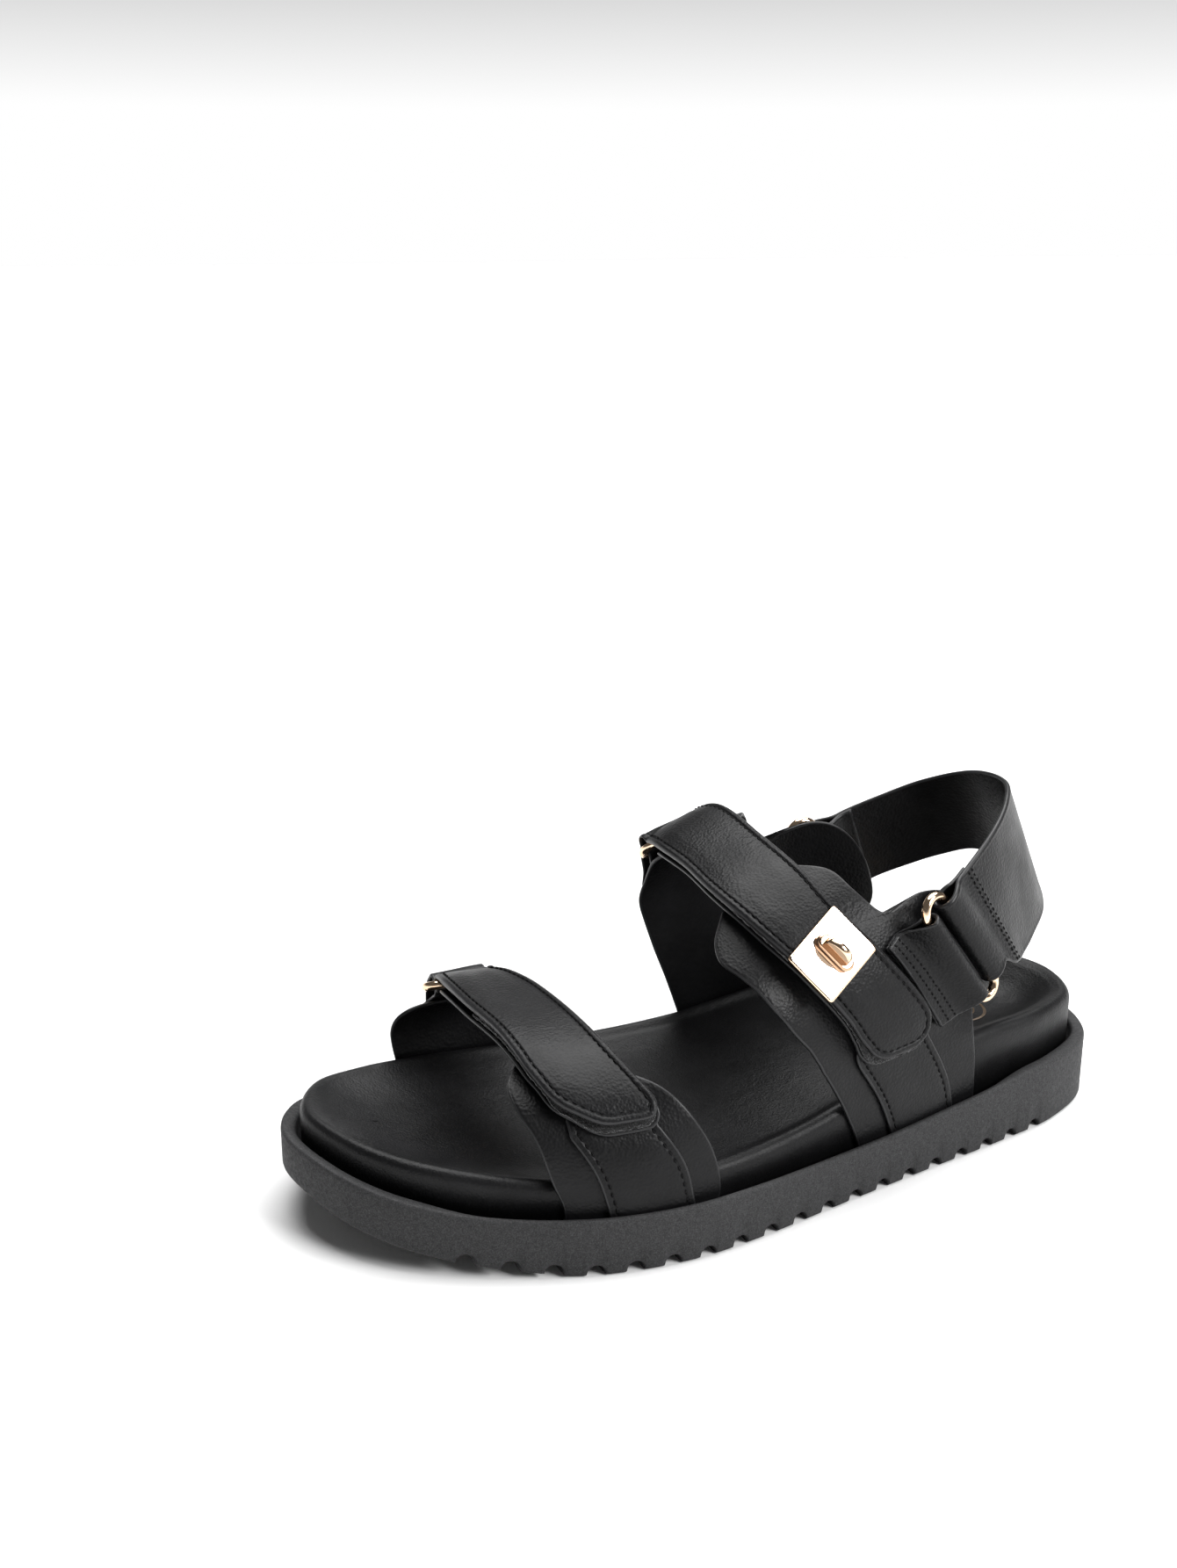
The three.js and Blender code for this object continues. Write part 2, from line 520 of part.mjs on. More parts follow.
function strapGroup(shape) {
  const { frame, u: ringU, length: ringLength } = strapRingFrame(shape.ring);
  const sleeveWidth = ringLength - 4 * RING_WIRE - SLEEVE_CLEARANCE;
  const toU = (mm) => mm / section(frame.centre.y).length;
  const [upperBarU, lowerBarU] = [ringU - toU(BAR_SPACING / 2), ringU + toU(BAR_SPACING / 2)];
  const [front, rear] = [edge(shape.flapFront, FLAP[1]), edge(shape.flapRear, FLAP[1])];
  const inside = (edgeOf, mm) => (u) => edgeOf(u) + mm;
  const [flapFrom, underFrom] = [uNear(shape.flapEnd, FLAP[1]), uNear(shape.underEnd, UNDER_STRAP[1])];
  const loop = { front: edge(shape.loopFront, OVERLAY[1]), rear: edge(shape.loopRear, OVERLAY[1]) };

  const flapStrap = strap({ from: flapFrom, to: upperBarU, roundFrom: shape.flapCorners, layer: FLAP, front, rear });
  const toSole = strap({ ...loop, from: lowerBarU, to: 1, layer: OVERLAY });
  const folded = strap({ ...loop, from: lowerBarU, to: lowerBarU + toU(FOLD_LENGTH), layer: [OVERLAY[1] - 0.2, OVERLAY[1] + 1.2] });
  return {
    lateral_panel: panel(shape.lateralPanel, PANEL, "lateral"),
    lateral_overlay: strap({
      from: 0, to: uNear(shape.overlayEnd, OVERLAY[1]), roundTo: [shape.overlayCorner, shape.overlayCorner], layer: OVERLAY,
      front: edge(shape.overlayFront, OVERLAY[1]), rear: edge(shape.overlayRear, OVERLAY[1]),
    }),
    medial_panel: panel(shape.medialPanel, PANEL, "medial"),
    medial_loop: withSleeve([toSole, folded], frame, -BAR_SPACING / 2, sleeveWidth, SLEEVE_HOLE, SLEEVE_OUTER),
    ring: placed(ovalRing(RING_WIRE, BAR_SPACING, ringLength - 4 * RING_WIRE), frame),
    under_strap: strap({ from: underFrom, to: upperBarU - toU(SLEEVE_OUTER + 0.8), roundFrom: shape.flapCorners, layer: UNDER_STRAP, front, rear }),
    loop_pad: strap({
      from: underFrom + toU(2.5), to: underFrom + 0.62 * (upperBarU - underFrom), roundFrom: [6, 5], layer: LOOP_PAD,
      front: inside(front, 2), rear: inside(rear, -2),
    }),
    flap: withSleeve([flapStrap], frame, BAR_SPACING / 2, sleeveWidth, SLEEVE_HOLE, SLEEVE_OUTER),
    hook_pad: strap({
      from: flapFrom + toU(3), to: flapFrom + toU(42), roundFrom: [6, 5], layer: HOOK_PAD,
      front: inside(front, 2.5), rear: inside(rear, -2.5),
    }),
  };
}

// ---------------------------------------------------------------- heel strap and its two rings
// Each ring's outermost points and the way the strap leaves it, and the corners [y, z] of the tab that holds it.
const HEEL_SIDES = {
  lateral: {
    top: [42, 45, 86.2], bottom: [43.5, 70.3, 51.2], leaves: [-3.5, 12.5, 4.2],
    tab: { topFront: [33.5, 73], bottomFront: [51, 45], topRear: [42, 81], bottomRear: [66, 50] },
  },
  medial: {
    top: [-37, 52.8, 84.5], bottom: [-40.2, 66.8, 46.5], leaves: [2, 12.5, 4.5],
    tab: { topFront: [32, 69], bottomFront: [43.5, 41], topRear: [48.5, 80], bottomRear: [61.5, 46.5] },
  },
};

function heelRingFrame({ top, bottom, leaves }) {
  const [a, b] = [new THREE.Vector3(...top), new THREE.Vector3(...bottom)];
  const towards = new THREE.Vector3(...leaves);
  const out = b.clone().sub(a).cross(towards).normalize();
  return ringFrame(a.clone().lerp(b, 0.5), b.clone().sub(a), out, towards);
}

function heelRingInnerLength(side) {
  const { top, bottom } = HEEL_SIDES[side];
  return new THREE.Vector3(...top).distanceTo(new THREE.Vector3(...bottom)) - 4 * HEEL_RING.wire;
}
const heelSleeveWidth = (side) => heelRingInnerLength(side) - HEEL_RING.endClearance;

// The leather tab on a quarter, folded round the front bar of its ring.
function ringTab(side, frame) {
  const { topFront, bottomFront, topRear, bottomRear } = HEEL_SIDES[side].tab;
  const x = frame.centre.x;
  const mix = (p, q, t) => [p[0] + (q[0] - p[0]) * t, p[1] + (q[1] - p[1]) * t];
  const grid = (offset) => Array.from({ length: TAB.steps + 1 }, (_, i) => {
    const t = side === "lateral" ? i / TAB.steps : 1 - i / TAB.steps;
    const [front, rear] = [mix(bottomFront, topFront, t), mix(bottomRear, topRear, t)];
    return Array.from({ length: 4 }, (__, j) => {
      const [y, z] = mix(front, rear, j / 3);
      return onFoot(uNear([x, y, z], offset), y, offset);
    });
  });
  const tail = gridSolid(grid(TAB.layer[1]), grid(TAB.layer[0]));
  const { barSpacing, hole, sleeve } = HEEL_RING;
  return withSleeve([tail], frame, -barSpacing / 2, heelSleeveWidth(side), hole, sleeve);
}

// The heel strap's upper and lower edges from the outer ring round the heel to the inner ring.
const HEEL_STRAP_TOP = [
  [38, 58.5, 88.5], [28.5, 78.5, 97.8], [19, 90.4, 102.3], [8, 98.5, 104.2], [-8, 99.5, 102.6], [-23, 91.5, 96.5], [-31, 81, 90.5], [-36, 69, 85],
];
const HEEL_STRAP_BOTTOM = [
  [39.8, 81, 58], [33, 90, 57.5], [25, 100, 58.5], [16, 111, 62], [4, 117.5, 66], [-7, 117, 68.5], [-18, 111.5, 71],
  [-26.5, 103.5, 67.5], [-33, 94, 63], [-37, 84.2, 59],
];
const HEEL_STRAP_STEPS = 30;

function heelStrap(frames) {
  const { barSpacing, hole, sleeve } = HEEL_RING;
  // A point on the line of a ring's rear bar, at its upper (1) or lower (-1) end, `along` the strap past it.
  const leave = (side, end, along) => {
    const { centre, bar, climb } = frames[side];
    const towards = (Math.sign(bar.z) * end * heelSleeveWidth(side)) / 2;
    return centre.clone().addScaledVector(bar, towards).addScaledVector(climb, barSpacing / 2 + along);
  };
  const edgeCurve = (points, end) => new THREE.CatmullRomCurve3([
    leave("lateral", end, 0), leave("lateral", end, sleeve + 1.5),
    ...points.map((p) => new THREE.Vector3(...p)),
    leave("medial", end, sleeve + 1.5), leave("medial", end, 0),
  ], false, "centripetal");
  const [top, bottom] = [edgeCurve(HEEL_STRAP_TOP, 1), edgeCurve(HEEL_STRAP_BOTTOM, -1)];
  const at = (t, s) => top.getPointAt(t).lerp(bottom.getPointAt(t), s);
  const outward = (t, s) => {
    const [t0, t1] = [Math.max(t - 0.02, 0), Math.min(t + 0.02, 1)];
    return at(t, 1).sub(at(t, 0)).cross(at(t1, s).sub(at(t0, s))).normalize();
  };
  const grid = (offset) => Array.from({ length: HEEL_STRAP_STEPS + 1 }, (_, i) => {
    const t = i / HEEL_STRAP_STEPS;
    return [0, 1 / 3, 2 / 3, 1].map((s) => at(t, s).addScaledVector(outward(t, s), offset));
  });
  let joined = solidOf(gridSolid(grid(HEEL_STRAP_THICKNESS / 2), grid(-HEEL_STRAP_THICKNESS / 2)));
  const along = (side, radius, length) => solidOf(placed(rod(radius, length), frames[side], [0, barSpacing / 2, 0]));
  for (const side of ["lateral", "medial"]) joined = joined.add(along(side, sleeve, heelSleeveWidth(side)));
  for (const side of ["lateral", "medial"]) joined = joined.subtract(along(side, hole, heelSleeveWidth(side) + 12));
  return geometryOf(joined);
}

// ---------------------------------------------------------------- turn lock on the instep flap
const LOCK_AT = [43.1, 12.4, 75.5];
const LOCK_ALONG = [0.41, 0.54, -0.73]; // down the strap

// z axis out of the flap, x axis along the strap.
function lockMatrix() {
  const u = uNear(LOCK_AT, FLAP[1]);
  const out = footNormal(u, LOCK_AT[1]);
  const x = new THREE.Vector3(...LOCK_ALONG);
  x.addScaledVector(out, -x.dot(out)).normalize();
  const matrix = new THREE.Matrix4().makeBasis(x, out.clone().cross(x), out);
  return matrix.setPosition(onFoot(u, LOCK_AT[1], FLAP[1] - PLATE.sink));
}

function lockPlate() {
  const { width, height, thickness, hole, bevel } = PLATE;
  const shape = new THREE.Shape();
  const [w, h, r] = [width / 2 - bevel, height / 2 - bevel, 1];
  shape.moveTo(-w + r, -h).lineTo(w - r, -h).absarc(w - r, -h + r, r, -Math.PI / 2, 0, false);
  shape.lineTo(w, h - r).absarc(w - r, h - r, r, 0, Math.PI / 2, false);
  shape.lineTo(-w + r, h).absarc(-w + r, h - r, r, Math.PI / 2, Math.PI, false);
  shape.lineTo(-w, -h + r).absarc(-w + r, -h + r, r, Math.PI, 1.5 * Math.PI, false);
  shape.holes.push(new THREE.Path().absarc(0, 0, hole + bevel, 0, 2 * Math.PI, true));
  return new THREE.ExtrudeGeometry(shape, {
    depth: thickness - 2 * bevel, bevelSize: bevel, bevelThickness: bevel, bevelSegments: 1, curveSegments: 4,
  }).translate(0, 0, bevel);
}

// The turning knob: a round-ended bar, a half-moon fin standing on it and a stem through the plate.
function lockKnob() {
  const { length, width, base, fin, finThickness, stem } = KNOB;
  const bar = new THREE.Shape();
  const reach = length / 2 - width / 2;
  bar.moveTo(-reach, -width / 2).lineTo(reach, -width / 2).absarc(reach, 0, width / 2, -Math.PI / 2, Math.PI / 2, false);
  bar.lineTo(-reach, width / 2).absarc(-reach, 0, width / 2, Math.PI / 2, 1.5 * Math.PI, false);
  const above = PLATE.thickness + GAP;
  const foot = new THREE.ExtrudeGeometry(bar, { depth: base, bevelEnabled: false, curveSegments: 8 }).translate(0, 0, above);
  const moon = new THREE.Shape();
  moon.moveTo(length / 2 - 2, 0).absellipse(0, 0, length / 2 - 2, fin, 0, Math.PI, false);
  const standing = new THREE.ExtrudeGeometry(moon, { depth: finThickness, bevelEnabled: false, curveSegments: 12 })
    .translate(0, 0, -finThickness / 2).rotateX(Math.PI / 2).translate(0, 0, above + base - 0.4);
  const shaft = new THREE.CylinderGeometry(stem, stem, above + GAP + 0.6, 16).rotateX(Math.PI / 2)
    .translate(0, 0, (above + GAP + 0.6) / 2 - GAP);
  return geometryOf(solidOf(foot).add(solidOf(standing)).add(solidOf(shaft)));
}

function lockWasher() {
  return new THREE.CylinderGeometry(KNOB.washer, KNOB.washer, 0.7, 20).rotateX(Math.PI / 2).translate(0, 0, -2 * GAP - 0.35);
}

// The seat pressed into the flap under the plate, and the pocket for the washer.
function lockSeat() {
  const plate = new THREE.BoxGeometry(PLATE.width + 0.5, PLATE.height + 0.5, 4).translate(0, 0, 2 - GAP);
  const pocket = new THREE.CylinderGeometry(KNOB.washer + GAP, KNOB.washer + GAP, 3, 20).rotateX(Math.PI / 2)
    .translate(0, 0, 1.5 - 0.7 - 3 * GAP);
  return solidOf(plate).add(solidOf(pocket));
}

// ---------------------------------------------------------------- materials
function material(name, colour, roughness, metalness) {
  const made = new THREE.MeshStandardMaterial({ color: colour, roughness, metalness });
  made.name = name;
  return made;
}
const EVA = material("outsole_eva", 0x2b2b2d, 0.85, 0);
const LEATHER = material("black_leather", 0x121213, 0.5, 0);
const FOAM = material("foam", 0x3a3a3c, 0.95, 0);
const BOARD = material("fibre_board", 0x6e5a45, 0.9, 0);
const STEEL = material("steel", 0x8c8f94, 0.4, 1);
const GOLD = material("pale_gold", 0xd9a877, 0.18, 1);
const TAPE = material("hook_and_loop", 0x0d0d0e, 0.95, 0);

// ---------------------------------------------------------------- assembly
const sandal = new THREE.Group();
sandal.name = "sport_sandal";

function add(name, geometry, surface) {
  const mesh = new THREE.Mesh(geometry, surface);
  mesh.name = name;
  sandal.add(mesh);
}

add("outsole", outsole(), EVA);
add("footbed_cover", footbedCover(), LEATHER);
add("midsole_core", midsoleCore(), FOAM);
add("insole_board", insoleBoard(), BOARD);
add("shank", shank(0), STEEL);

const groups = { forefoot: strapGroup(FOREFOOT), instep: strapGroup(INSTEP) };
const lock = lockMatrix();
const seat = lockSeat().transform(lock.elements);
groups.instep.flap = geometryOf(solidOf(groups.instep.flap).subtract(seat));

const surfaces = { ring: GOLD, loop_pad: TAPE, hook_pad: TAPE };
for (const [group, pieces] of Object.entries(groups)) {
  for (const [piece, geometry] of Object.entries(pieces)) add(`${group}_${piece}`, geometry, surfaces[piece] ?? LEATHER);
}

add("turnlock_plate", lockPlate().applyMatrix4(lock), GOLD);
add("turnlock_knob", lockKnob().applyMatrix4(lock), GOLD);
add("turnlock_washer", lockWasher().applyMatrix4(lock), STEEL);

const heelFrames = { lateral: heelRingFrame(HEEL_SIDES.lateral), medial: heelRingFrame(HEEL_SIDES.medial) };
for (const [side, frame] of Object.entries(heelFrames)) {
  add(`heel_ring_${side}`, placed(ovalRing(HEEL_RING.wire, HEEL_RING.barSpacing, heelRingInnerLength(side)), frame), GOLD);
  add(`${side}_ring_tab`, ringTab(side, frame), LEATHER);
}
add("heel_strap", heelStrap(heelFrames), LEATHER);

sandal.position.x = -OUTLINE_CENTRE_X;

export default sandal;
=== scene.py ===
"""A strappy sport sandal for the left foot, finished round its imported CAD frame.

Blender works in metres. The foot's surface and the outlines of the leather are worked out in millimetres, in
the maker's frame: toe towards -Y, outer side towards +X. `place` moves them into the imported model's frame.
"""
import math

import bmesh
import bpy
import numpy as np
from mathutils import Matrix, Vector
from mathutils.bvhtree import BVHTree


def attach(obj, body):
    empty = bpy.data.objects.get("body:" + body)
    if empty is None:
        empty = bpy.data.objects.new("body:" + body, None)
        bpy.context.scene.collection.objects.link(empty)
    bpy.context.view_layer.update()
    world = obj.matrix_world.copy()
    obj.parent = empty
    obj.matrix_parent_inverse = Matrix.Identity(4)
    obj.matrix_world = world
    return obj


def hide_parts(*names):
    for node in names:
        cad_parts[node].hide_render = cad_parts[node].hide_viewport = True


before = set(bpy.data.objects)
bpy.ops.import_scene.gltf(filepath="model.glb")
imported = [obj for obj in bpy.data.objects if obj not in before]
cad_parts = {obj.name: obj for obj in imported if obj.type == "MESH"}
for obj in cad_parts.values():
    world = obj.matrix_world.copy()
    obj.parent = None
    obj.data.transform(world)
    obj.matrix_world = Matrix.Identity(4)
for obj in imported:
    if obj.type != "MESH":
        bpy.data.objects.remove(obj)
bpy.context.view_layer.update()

MM = 0.001
CENTRE_X = 2.7  # middle of the outsole's width in the maker's frame

# ---------------------------------------------------------------- driving dimensions, millimetres
OUTLINE = [
    (-14, -131), (8, -125.5), (24, -114.5), (36, -99.5), (46.3, -80), (53.7, -60), (57.2, -38), (56.3, -18),
    (51, 19), (46.8, 50), (43, 80), (38.5, 103), (27, 123.5), (5, 131), (-16, 123), (-30, 104.5),
    (-36, 78), (-38, 50), (-41.5, 20), (-47, -20), (-51.5, -55), (-51, -80), (-46.5, -101), (-37, -119.5),
]
RIM = [(-131, 27.5), (-121, 24.2), (-111, 21.5), (-95, 18.7), (-75, 17.2), (-30, 16.8), (27, 16.4),
       (61, 18.5), (92, 21.2), (131, 21.6)]
UNDERSIDE = [(-131, 15), (-121, 10), (-107, 6), (-93, 3.4), (-80, 1.4), (-66, 0), (0, 0), (131, 0)]
EDGE = [(-131, 35), (-113, 31), (-91, 27.5), (-75, 25.5), (-50, 23.7), (-20, 23.7), (5, 25.6), (20, 28.3),
        (45, 33), (70, 36.3), (104, 36), (131, 35.5)]
FLOOR = [(-131, 31.5), (-113, 27), (-91, 23), (-60, 20.5), (-20, 21.5), (5, 24), (30, 28), (60, 29.5),
         (95, 27.5), (131, 28.5)]
INSTEP_TOP = [(-110, 44), (-95, 47), (-79, 50), (-49, 51.5), (-30, 66), (-8, 80.5), (18, 91), (45, 99),
              (75, 104), (110, 106)]
MEDIAL_POWER = [(-50, 3), (-12, 4.2)]
ARCH_TILT = [(-50, -1.5), (-12, 2.5), (15, 5)]
LATERAL_POWER = 2.9
ARCH_LEAN = 4
GROOVE_DEPTH = 6
FOOTBED_INSET = 5.6
LIP_GROWTH = 1.9  # how much thicker the outsole's lip is at toe and heel, clear of the straps
LAST_INSET = 5.3
WING_LEAN = 8
TREAD = {"count": 19, "first": -97, "pitch": 10.55, "radius": 2.6, "rise": 0.6}

RING_WIRE = 1.4
BAR_SPACING = 8
BAR_OFFSET = 4.9
HEEL_BAR_SPACING = 9
PANEL = (0, 1.2)
OVERLAY = (1.6, 2.6)
UNDER_STRAP = (2.9, 4.1)
LOOP_PAD = (4.3, 5.1)
HOOK_PAD = (5.3, 6.0)
FLAP = (6.2, 8.4)
FLAP_FOLD = 1.6  # a flap's thickness where it folds round its bar
FOLD_LENGTH = 11  # how far a loop comes back down over itself
LOOP_PLAY = 2.6  # how much narrower a loop is than the inside of its ring
LOOP_TAIL = 3.3  # height of a loop's tail off the foot's surface, once it has left the bar

STITCH = {"pitch": 2.6, "radius": 0.27, "inset": 2.15}


# ---------------------------------------------------------------- curves
def smooth(pairs):
    """A smooth curve through (position, value) pairs, flat beyond its ends."""
    xs, vs = np.array(pairs, float).T
    slope = np.gradient(vs, xs)
    slope[1:-1] = (vs[2:] - vs[:-2]) / (xs[2:] - xs[:-2])

    def at(x):
        x = np.clip(x, xs[0], xs[-1])
        i = np.clip(np.searchsorted(xs, x, side="right") - 1, 0, len(xs) - 2)
        h = xs[i + 1] - xs[i]
        t = (x - xs[i]) / h
        rise = (2 * t**3 - 3 * t**2 + 1) * vs[i] + (3 * t**2 - 2 * t**3) * vs[i + 1]
        return rise + ((t**3 - 2 * t**2 + t) * slope[i] + (t**3 - t**2) * slope[i + 1]) * h
    return at


def through(points, count, closed=False):
    """A centripetal curve through points, as `count` points evenly spaced along it."""
    p = np.array(points, float)
    if closed:
        p = np.vstack([p[-1:], p, p[:2]])
    else:
        p = np.vstack([2 * p[0] - p[1], p, 2 * p[-1] - p[-2]])
    parts = []
    for a, b, c, d in zip(p[:-3], p[1:-2], p[2:-1], p[3:]):
        ab, bc, cd = (max(math.sqrt(np.linalg.norm(q - r)), 1e-3) for q, r in ((a, b), (b, c), (c, d)))
        m1 = ((b - a) / ab - (c - a) / (ab + bc) + (c - b) / bc) * bc
        m2 = ((c - b) / bc - (d - b) / (bc + cd) + (d - c) / cd) * bc
        t = np.linspace(0, 1, 40, endpoint=False)[:, None]
        parts.append((2 * t**3 - 3 * t**2 + 1) * b + (t**3 - 2 * t**2 + t) * m1
                     + (3 * t**2 - 2 * t**3) * c + (t**3 - t**2) * m2)
    return resample(np.vstack(parts + [p[-2][None]]), count)


def running_length(line):
    return np.concatenate([[0], np.cumsum(np.linalg.norm(np.diff(line, axis=0), axis=1))])


def resample(line, count):
    along = running_length(line)
    s = np.linspace(0, along[-1], count)
    return np.stack([np.interp(s, along, line[:, k]) for k in range(line.shape[1])], axis=1)


def step(x, low, high):
    t = np.clip((x - low) / (high - low), 0, 1)
    return t * t * (3 - 2 * t)


def unit(v):
    return v / np.maximum(np.linalg.norm(v, axis=-1, keepdims=True), 1e-9)


rim_height, toe_spring, edge_height = smooth(RIM), smooth(UNDERSIDE), smooth(EDGE)
floor_height, top_height = smooth(FLOOR), smooth(INSTEP_TOP)
medial_power, arch_tilt = smooth(MEDIAL_POWER), smooth(ARCH_TILT)
outline = through(OUTLINE, 961, closed=True)[:-1]


def underside(y):
    return np.maximum(toe_spring(y), 0)


def platform(y):
    return rim_height(y) - GROOVE_DEPTH


def sides(inset):
    """The outline moved inwards, as its outer and inner sides, each from toe to heel."""
    along = unit(np.roll(outline, -1, axis=0) - np.roll(outline, 1, axis=0))
    moved = outline + np.stack([-along[:, 1], along[:, 0]], axis=1) * inset
    moved = np.roll(moved, -int(moved[:, 1].argmin()), axis=0)
    moved = np.vstack([moved, moved[:1]])
    heel = int(moved[:, 1].argmax())
    return moved[:heel + 1], moved[heel:][::-1]


def side_x(side, y):
    return np.interp(y, np.maximum.accumulate(side[:, 1]), side[:, 0])


# ---------------------------------------------------------------- the foot's surface
SURFACE_STEP = 0.5
SURFACE_Y = np.arange(-105, 112, SURFACE_STEP)
SURFACE_U = np.linspace(0, 1, 901)


def foot_table():
    """Sections of the foot from the outer groove over the arch to the inner groove, evenly stepped."""
    outer, inner = sides(LAST_INSET)
    half_turn = np.pi * (1 - np.cos(np.pi * np.linspace(0, 1, 241))) / 2
    table = np.empty((len(SURFACE_U), len(SURFACE_Y), 2))
    lengths = np.empty(len(SURFACE_Y))
    for k, y in enumerate(SURFACE_Y):
        xl, xm = side_x(outer, y), side_x(inner, y)
        middle, half = (xl + xm) / 2, (xl - xm) / 2
        power = np.where(half_turn < np.pi / 2, LATERAL_POWER, medial_power(y))
        up = np.clip(np.sin(half_turn), 0, 1) ** (2 / power)
        out = np.sign(np.cos(half_turn)) * np.abs(np.cos(half_turn)) ** (2 / power)
        x = middle + out * half - ARCH_LEAN * up
        z = edge_height(y) + (top_height(y) - edge_height(y)) * up - arch_tilt(y) * out * up * up
        low = platform(y) + 0.5
        line = np.vstack([[xl, low], np.stack([x, z], axis=1), [xm, low]])
        along = running_length(line)
        lengths[k] = along[-1]
        for c in (0, 1):
            table[:, k, c] = np.interp(SURFACE_U * along[-1], along, line[:, c])
    return table, lengths


FOOT, SECTION_LENGTH = foot_table()


def section_length(y):
    return float(np.interp(y, SURFACE_Y, SECTION_LENGTH))


def foot_point(u, y):
    u, y = np.broadcast_arrays(np.asarray(u, float), np.asarray(y, float))
    fu = np.clip(u, 0, 1) * (len(SURFACE_U) - 1)
    fy = np.clip((y - SURFACE_Y[0]) / SURFACE_STEP, 0, len(SURFACE_Y) - 1.001)
    i = np.minimum(fu.astype(int), len(SURFACE_U) - 2)
    j = fy.astype(int)
    a, b = (fu - i)[..., None], (fy - j)[..., None]
    here = FOOT[i, j] * (1 - a) + FOOT[i + 1, j] * a
    ahead = FOOT[i, j + 1] * (1 - a) + FOOT[i + 1, j + 1] * a
    xz = here * (1 - b) + ahead * b
    return np.stack([xz[..., 0], y, xz[..., 1]], axis=-1)


def foot_normal(u, y):
    across = foot_point(u + 0.012, y) - foot_point(u - 0.012, y)
    along = foot_point(u, y + 1.5) - foot_point(u, y - 1.5)
    return unit(np.cross(along, across))


def on_foot(u, y, offset):
    return foot_point(u, y) + foot_normal(u, y) * np.asarray(offset)[..., None]


def u_near(point, offset=0.0):
    us = np.linspace(0, 1, 801)
    p = on_foot(us, np.full_like(us, point[1]), offset)
    return float(us[np.argmin(np.hypot(p[:, 0] - point[0], p[:, 2] - point[2]))])


def wing_lean(y, z):
    """How far a quarter's loose rear wing leans in from the foot's surface."""
    return WING_LEAN * step(y, 44, 78) * step(z, 37, 54)


# ---------------------------------------------------------------- meshes
EDGE_PAINT = 0.75  # how far the painted rim reaches in from an edge
NEAR_EDGE = np.array([  # how far in the lines of points beside a free edge lie
    0, 0.04, 0.12, 0.25, 0.42, 0.62, 0.85, 1.15, 1.45, 1.7, 1.88, 2.02, 2.15, 2.28, 2.42, 2.6,
    2.9, 3.4, 4.1, 5])


def place(points):
    return (np.asarray(points, float) - [CENTRE_X, 0, 0]) * MM


def add_object(name, data):
    obj = bpy.data.objects.new(name, data)
    bpy.context.scene.collection.objects.link(obj)
    return obj


def mesh_object(name, points, faces, materials, face_slots=None, merge=0.0):
    mesh = bpy.data.meshes.new(name)
    mesh.from_pydata(place(points).tolist(), [], faces)
    for m in materials:
        mesh.materials.append(m)
    if face_slots is not None:
        mesh.polygons.foreach_set("material_index", face_slots)
    if merge:
        bm = bmesh.new()
        bm.from_mesh(mesh)
        bmesh.ops.remove_doubles(bm, verts=bm.verts, dist=merge * MM)
        bm.to_mesh(mesh)
        bm.free()
    mesh.polygons.foreach_set("use_smooth", [True] * len(mesh.polygons))
    mesh.update()
    return add_object(name, mesh)


def grid_faces(rows, columns, start=0, flip=False, wrap=False):
    faces = []
    for i in range(rows - 1):
        for j in range(columns if wrap else columns - 1):
            k = (j + 1) % columns
            quad = (start + i * columns + j, start + i * columns + k,
                    start + (i + 1) * columns + k, start + (i + 1) * columns + j)
            faces.append(quad[::-1] if flip else quad)
    return faces


def distance_to(line, points):
    """Distance from each point to a polyline."""
    flat = points.reshape(-1, 3)
    best = np.full(len(flat), 1e9)
    for a, b in zip(line[:-1], line[1:]):
        ab = b - a
        t = np.clip(((flat - a) @ ab) / max(ab @ ab, 1e-12), 0, 1)
        best = np.minimum(best, np.linalg.norm(flat - a - t[:, None] * ab, axis=1))
    return best.reshape(points.shape[:-1])


def leather(name, middle, normal, thickness, materials, radius=0.6, free="front rear start end", relief=None):
    """A piece of leather either side of its middle grid, with its free edges rounded and painted.

    Rows run from start to end, columns from the front edge to the rear one. `relief` raises the outer face by
    a height that depends on the distance from the edge."""
    borders = {"front": middle[:, 0], "rear": middle[:, -1], "start": middle[0], "end": middle[-1]}
    d = np.full(middle.shape[:2], 1e9)
    for border in free.split():
        d = np.minimum(d, distance_to(borders[border], middle))
    share = np.clip(d / radius, 0, 1)
    half = np.asarray(thickness) / 2 * np.sqrt(1 - (1 - share) ** 2)
    raised = half + (relief(d) * share if relief else 0)
    outer = middle + normal * raised[..., None]
    inner = middle - normal * half[..., None]
    rows, columns = d.shape
    n = rows * columns
    faces = grid_faces(rows, columns) + grid_faces(rows, columns, n, flip=True)
    near = (d < EDGE_PAINT).reshape(-1)
    slots = [int(near[f[0] % n] and near[f[2] % n]) for f in faces]
    rim = [[i * columns for i in range(rows)], [(i + 1) * columns - 1 for i in range(rows)],
           list(range(columns)), list(range(n - columns, n))]
    for line, forward in zip(rim, (True, False, False, True)):
        for a, b in zip(line[:-1], line[1:]):
            faces.append((a, b, b + n, a + n) if forward else (b, a, a + n, b + n))
            slots.append(0)
    points = np.vstack([outer.reshape(-1, 3), inner.reshape(-1, 3)])
    obj = mesh_object(name, points, faces, materials, slots, merge=0.004)
    bm = bmesh.new()
    bm.from_mesh(obj.data)
    bmesh.ops.recalc_face_normals(bm, faces=bm.faces)
    bm.to_mesh(obj.data)
    bm.free()
    return obj


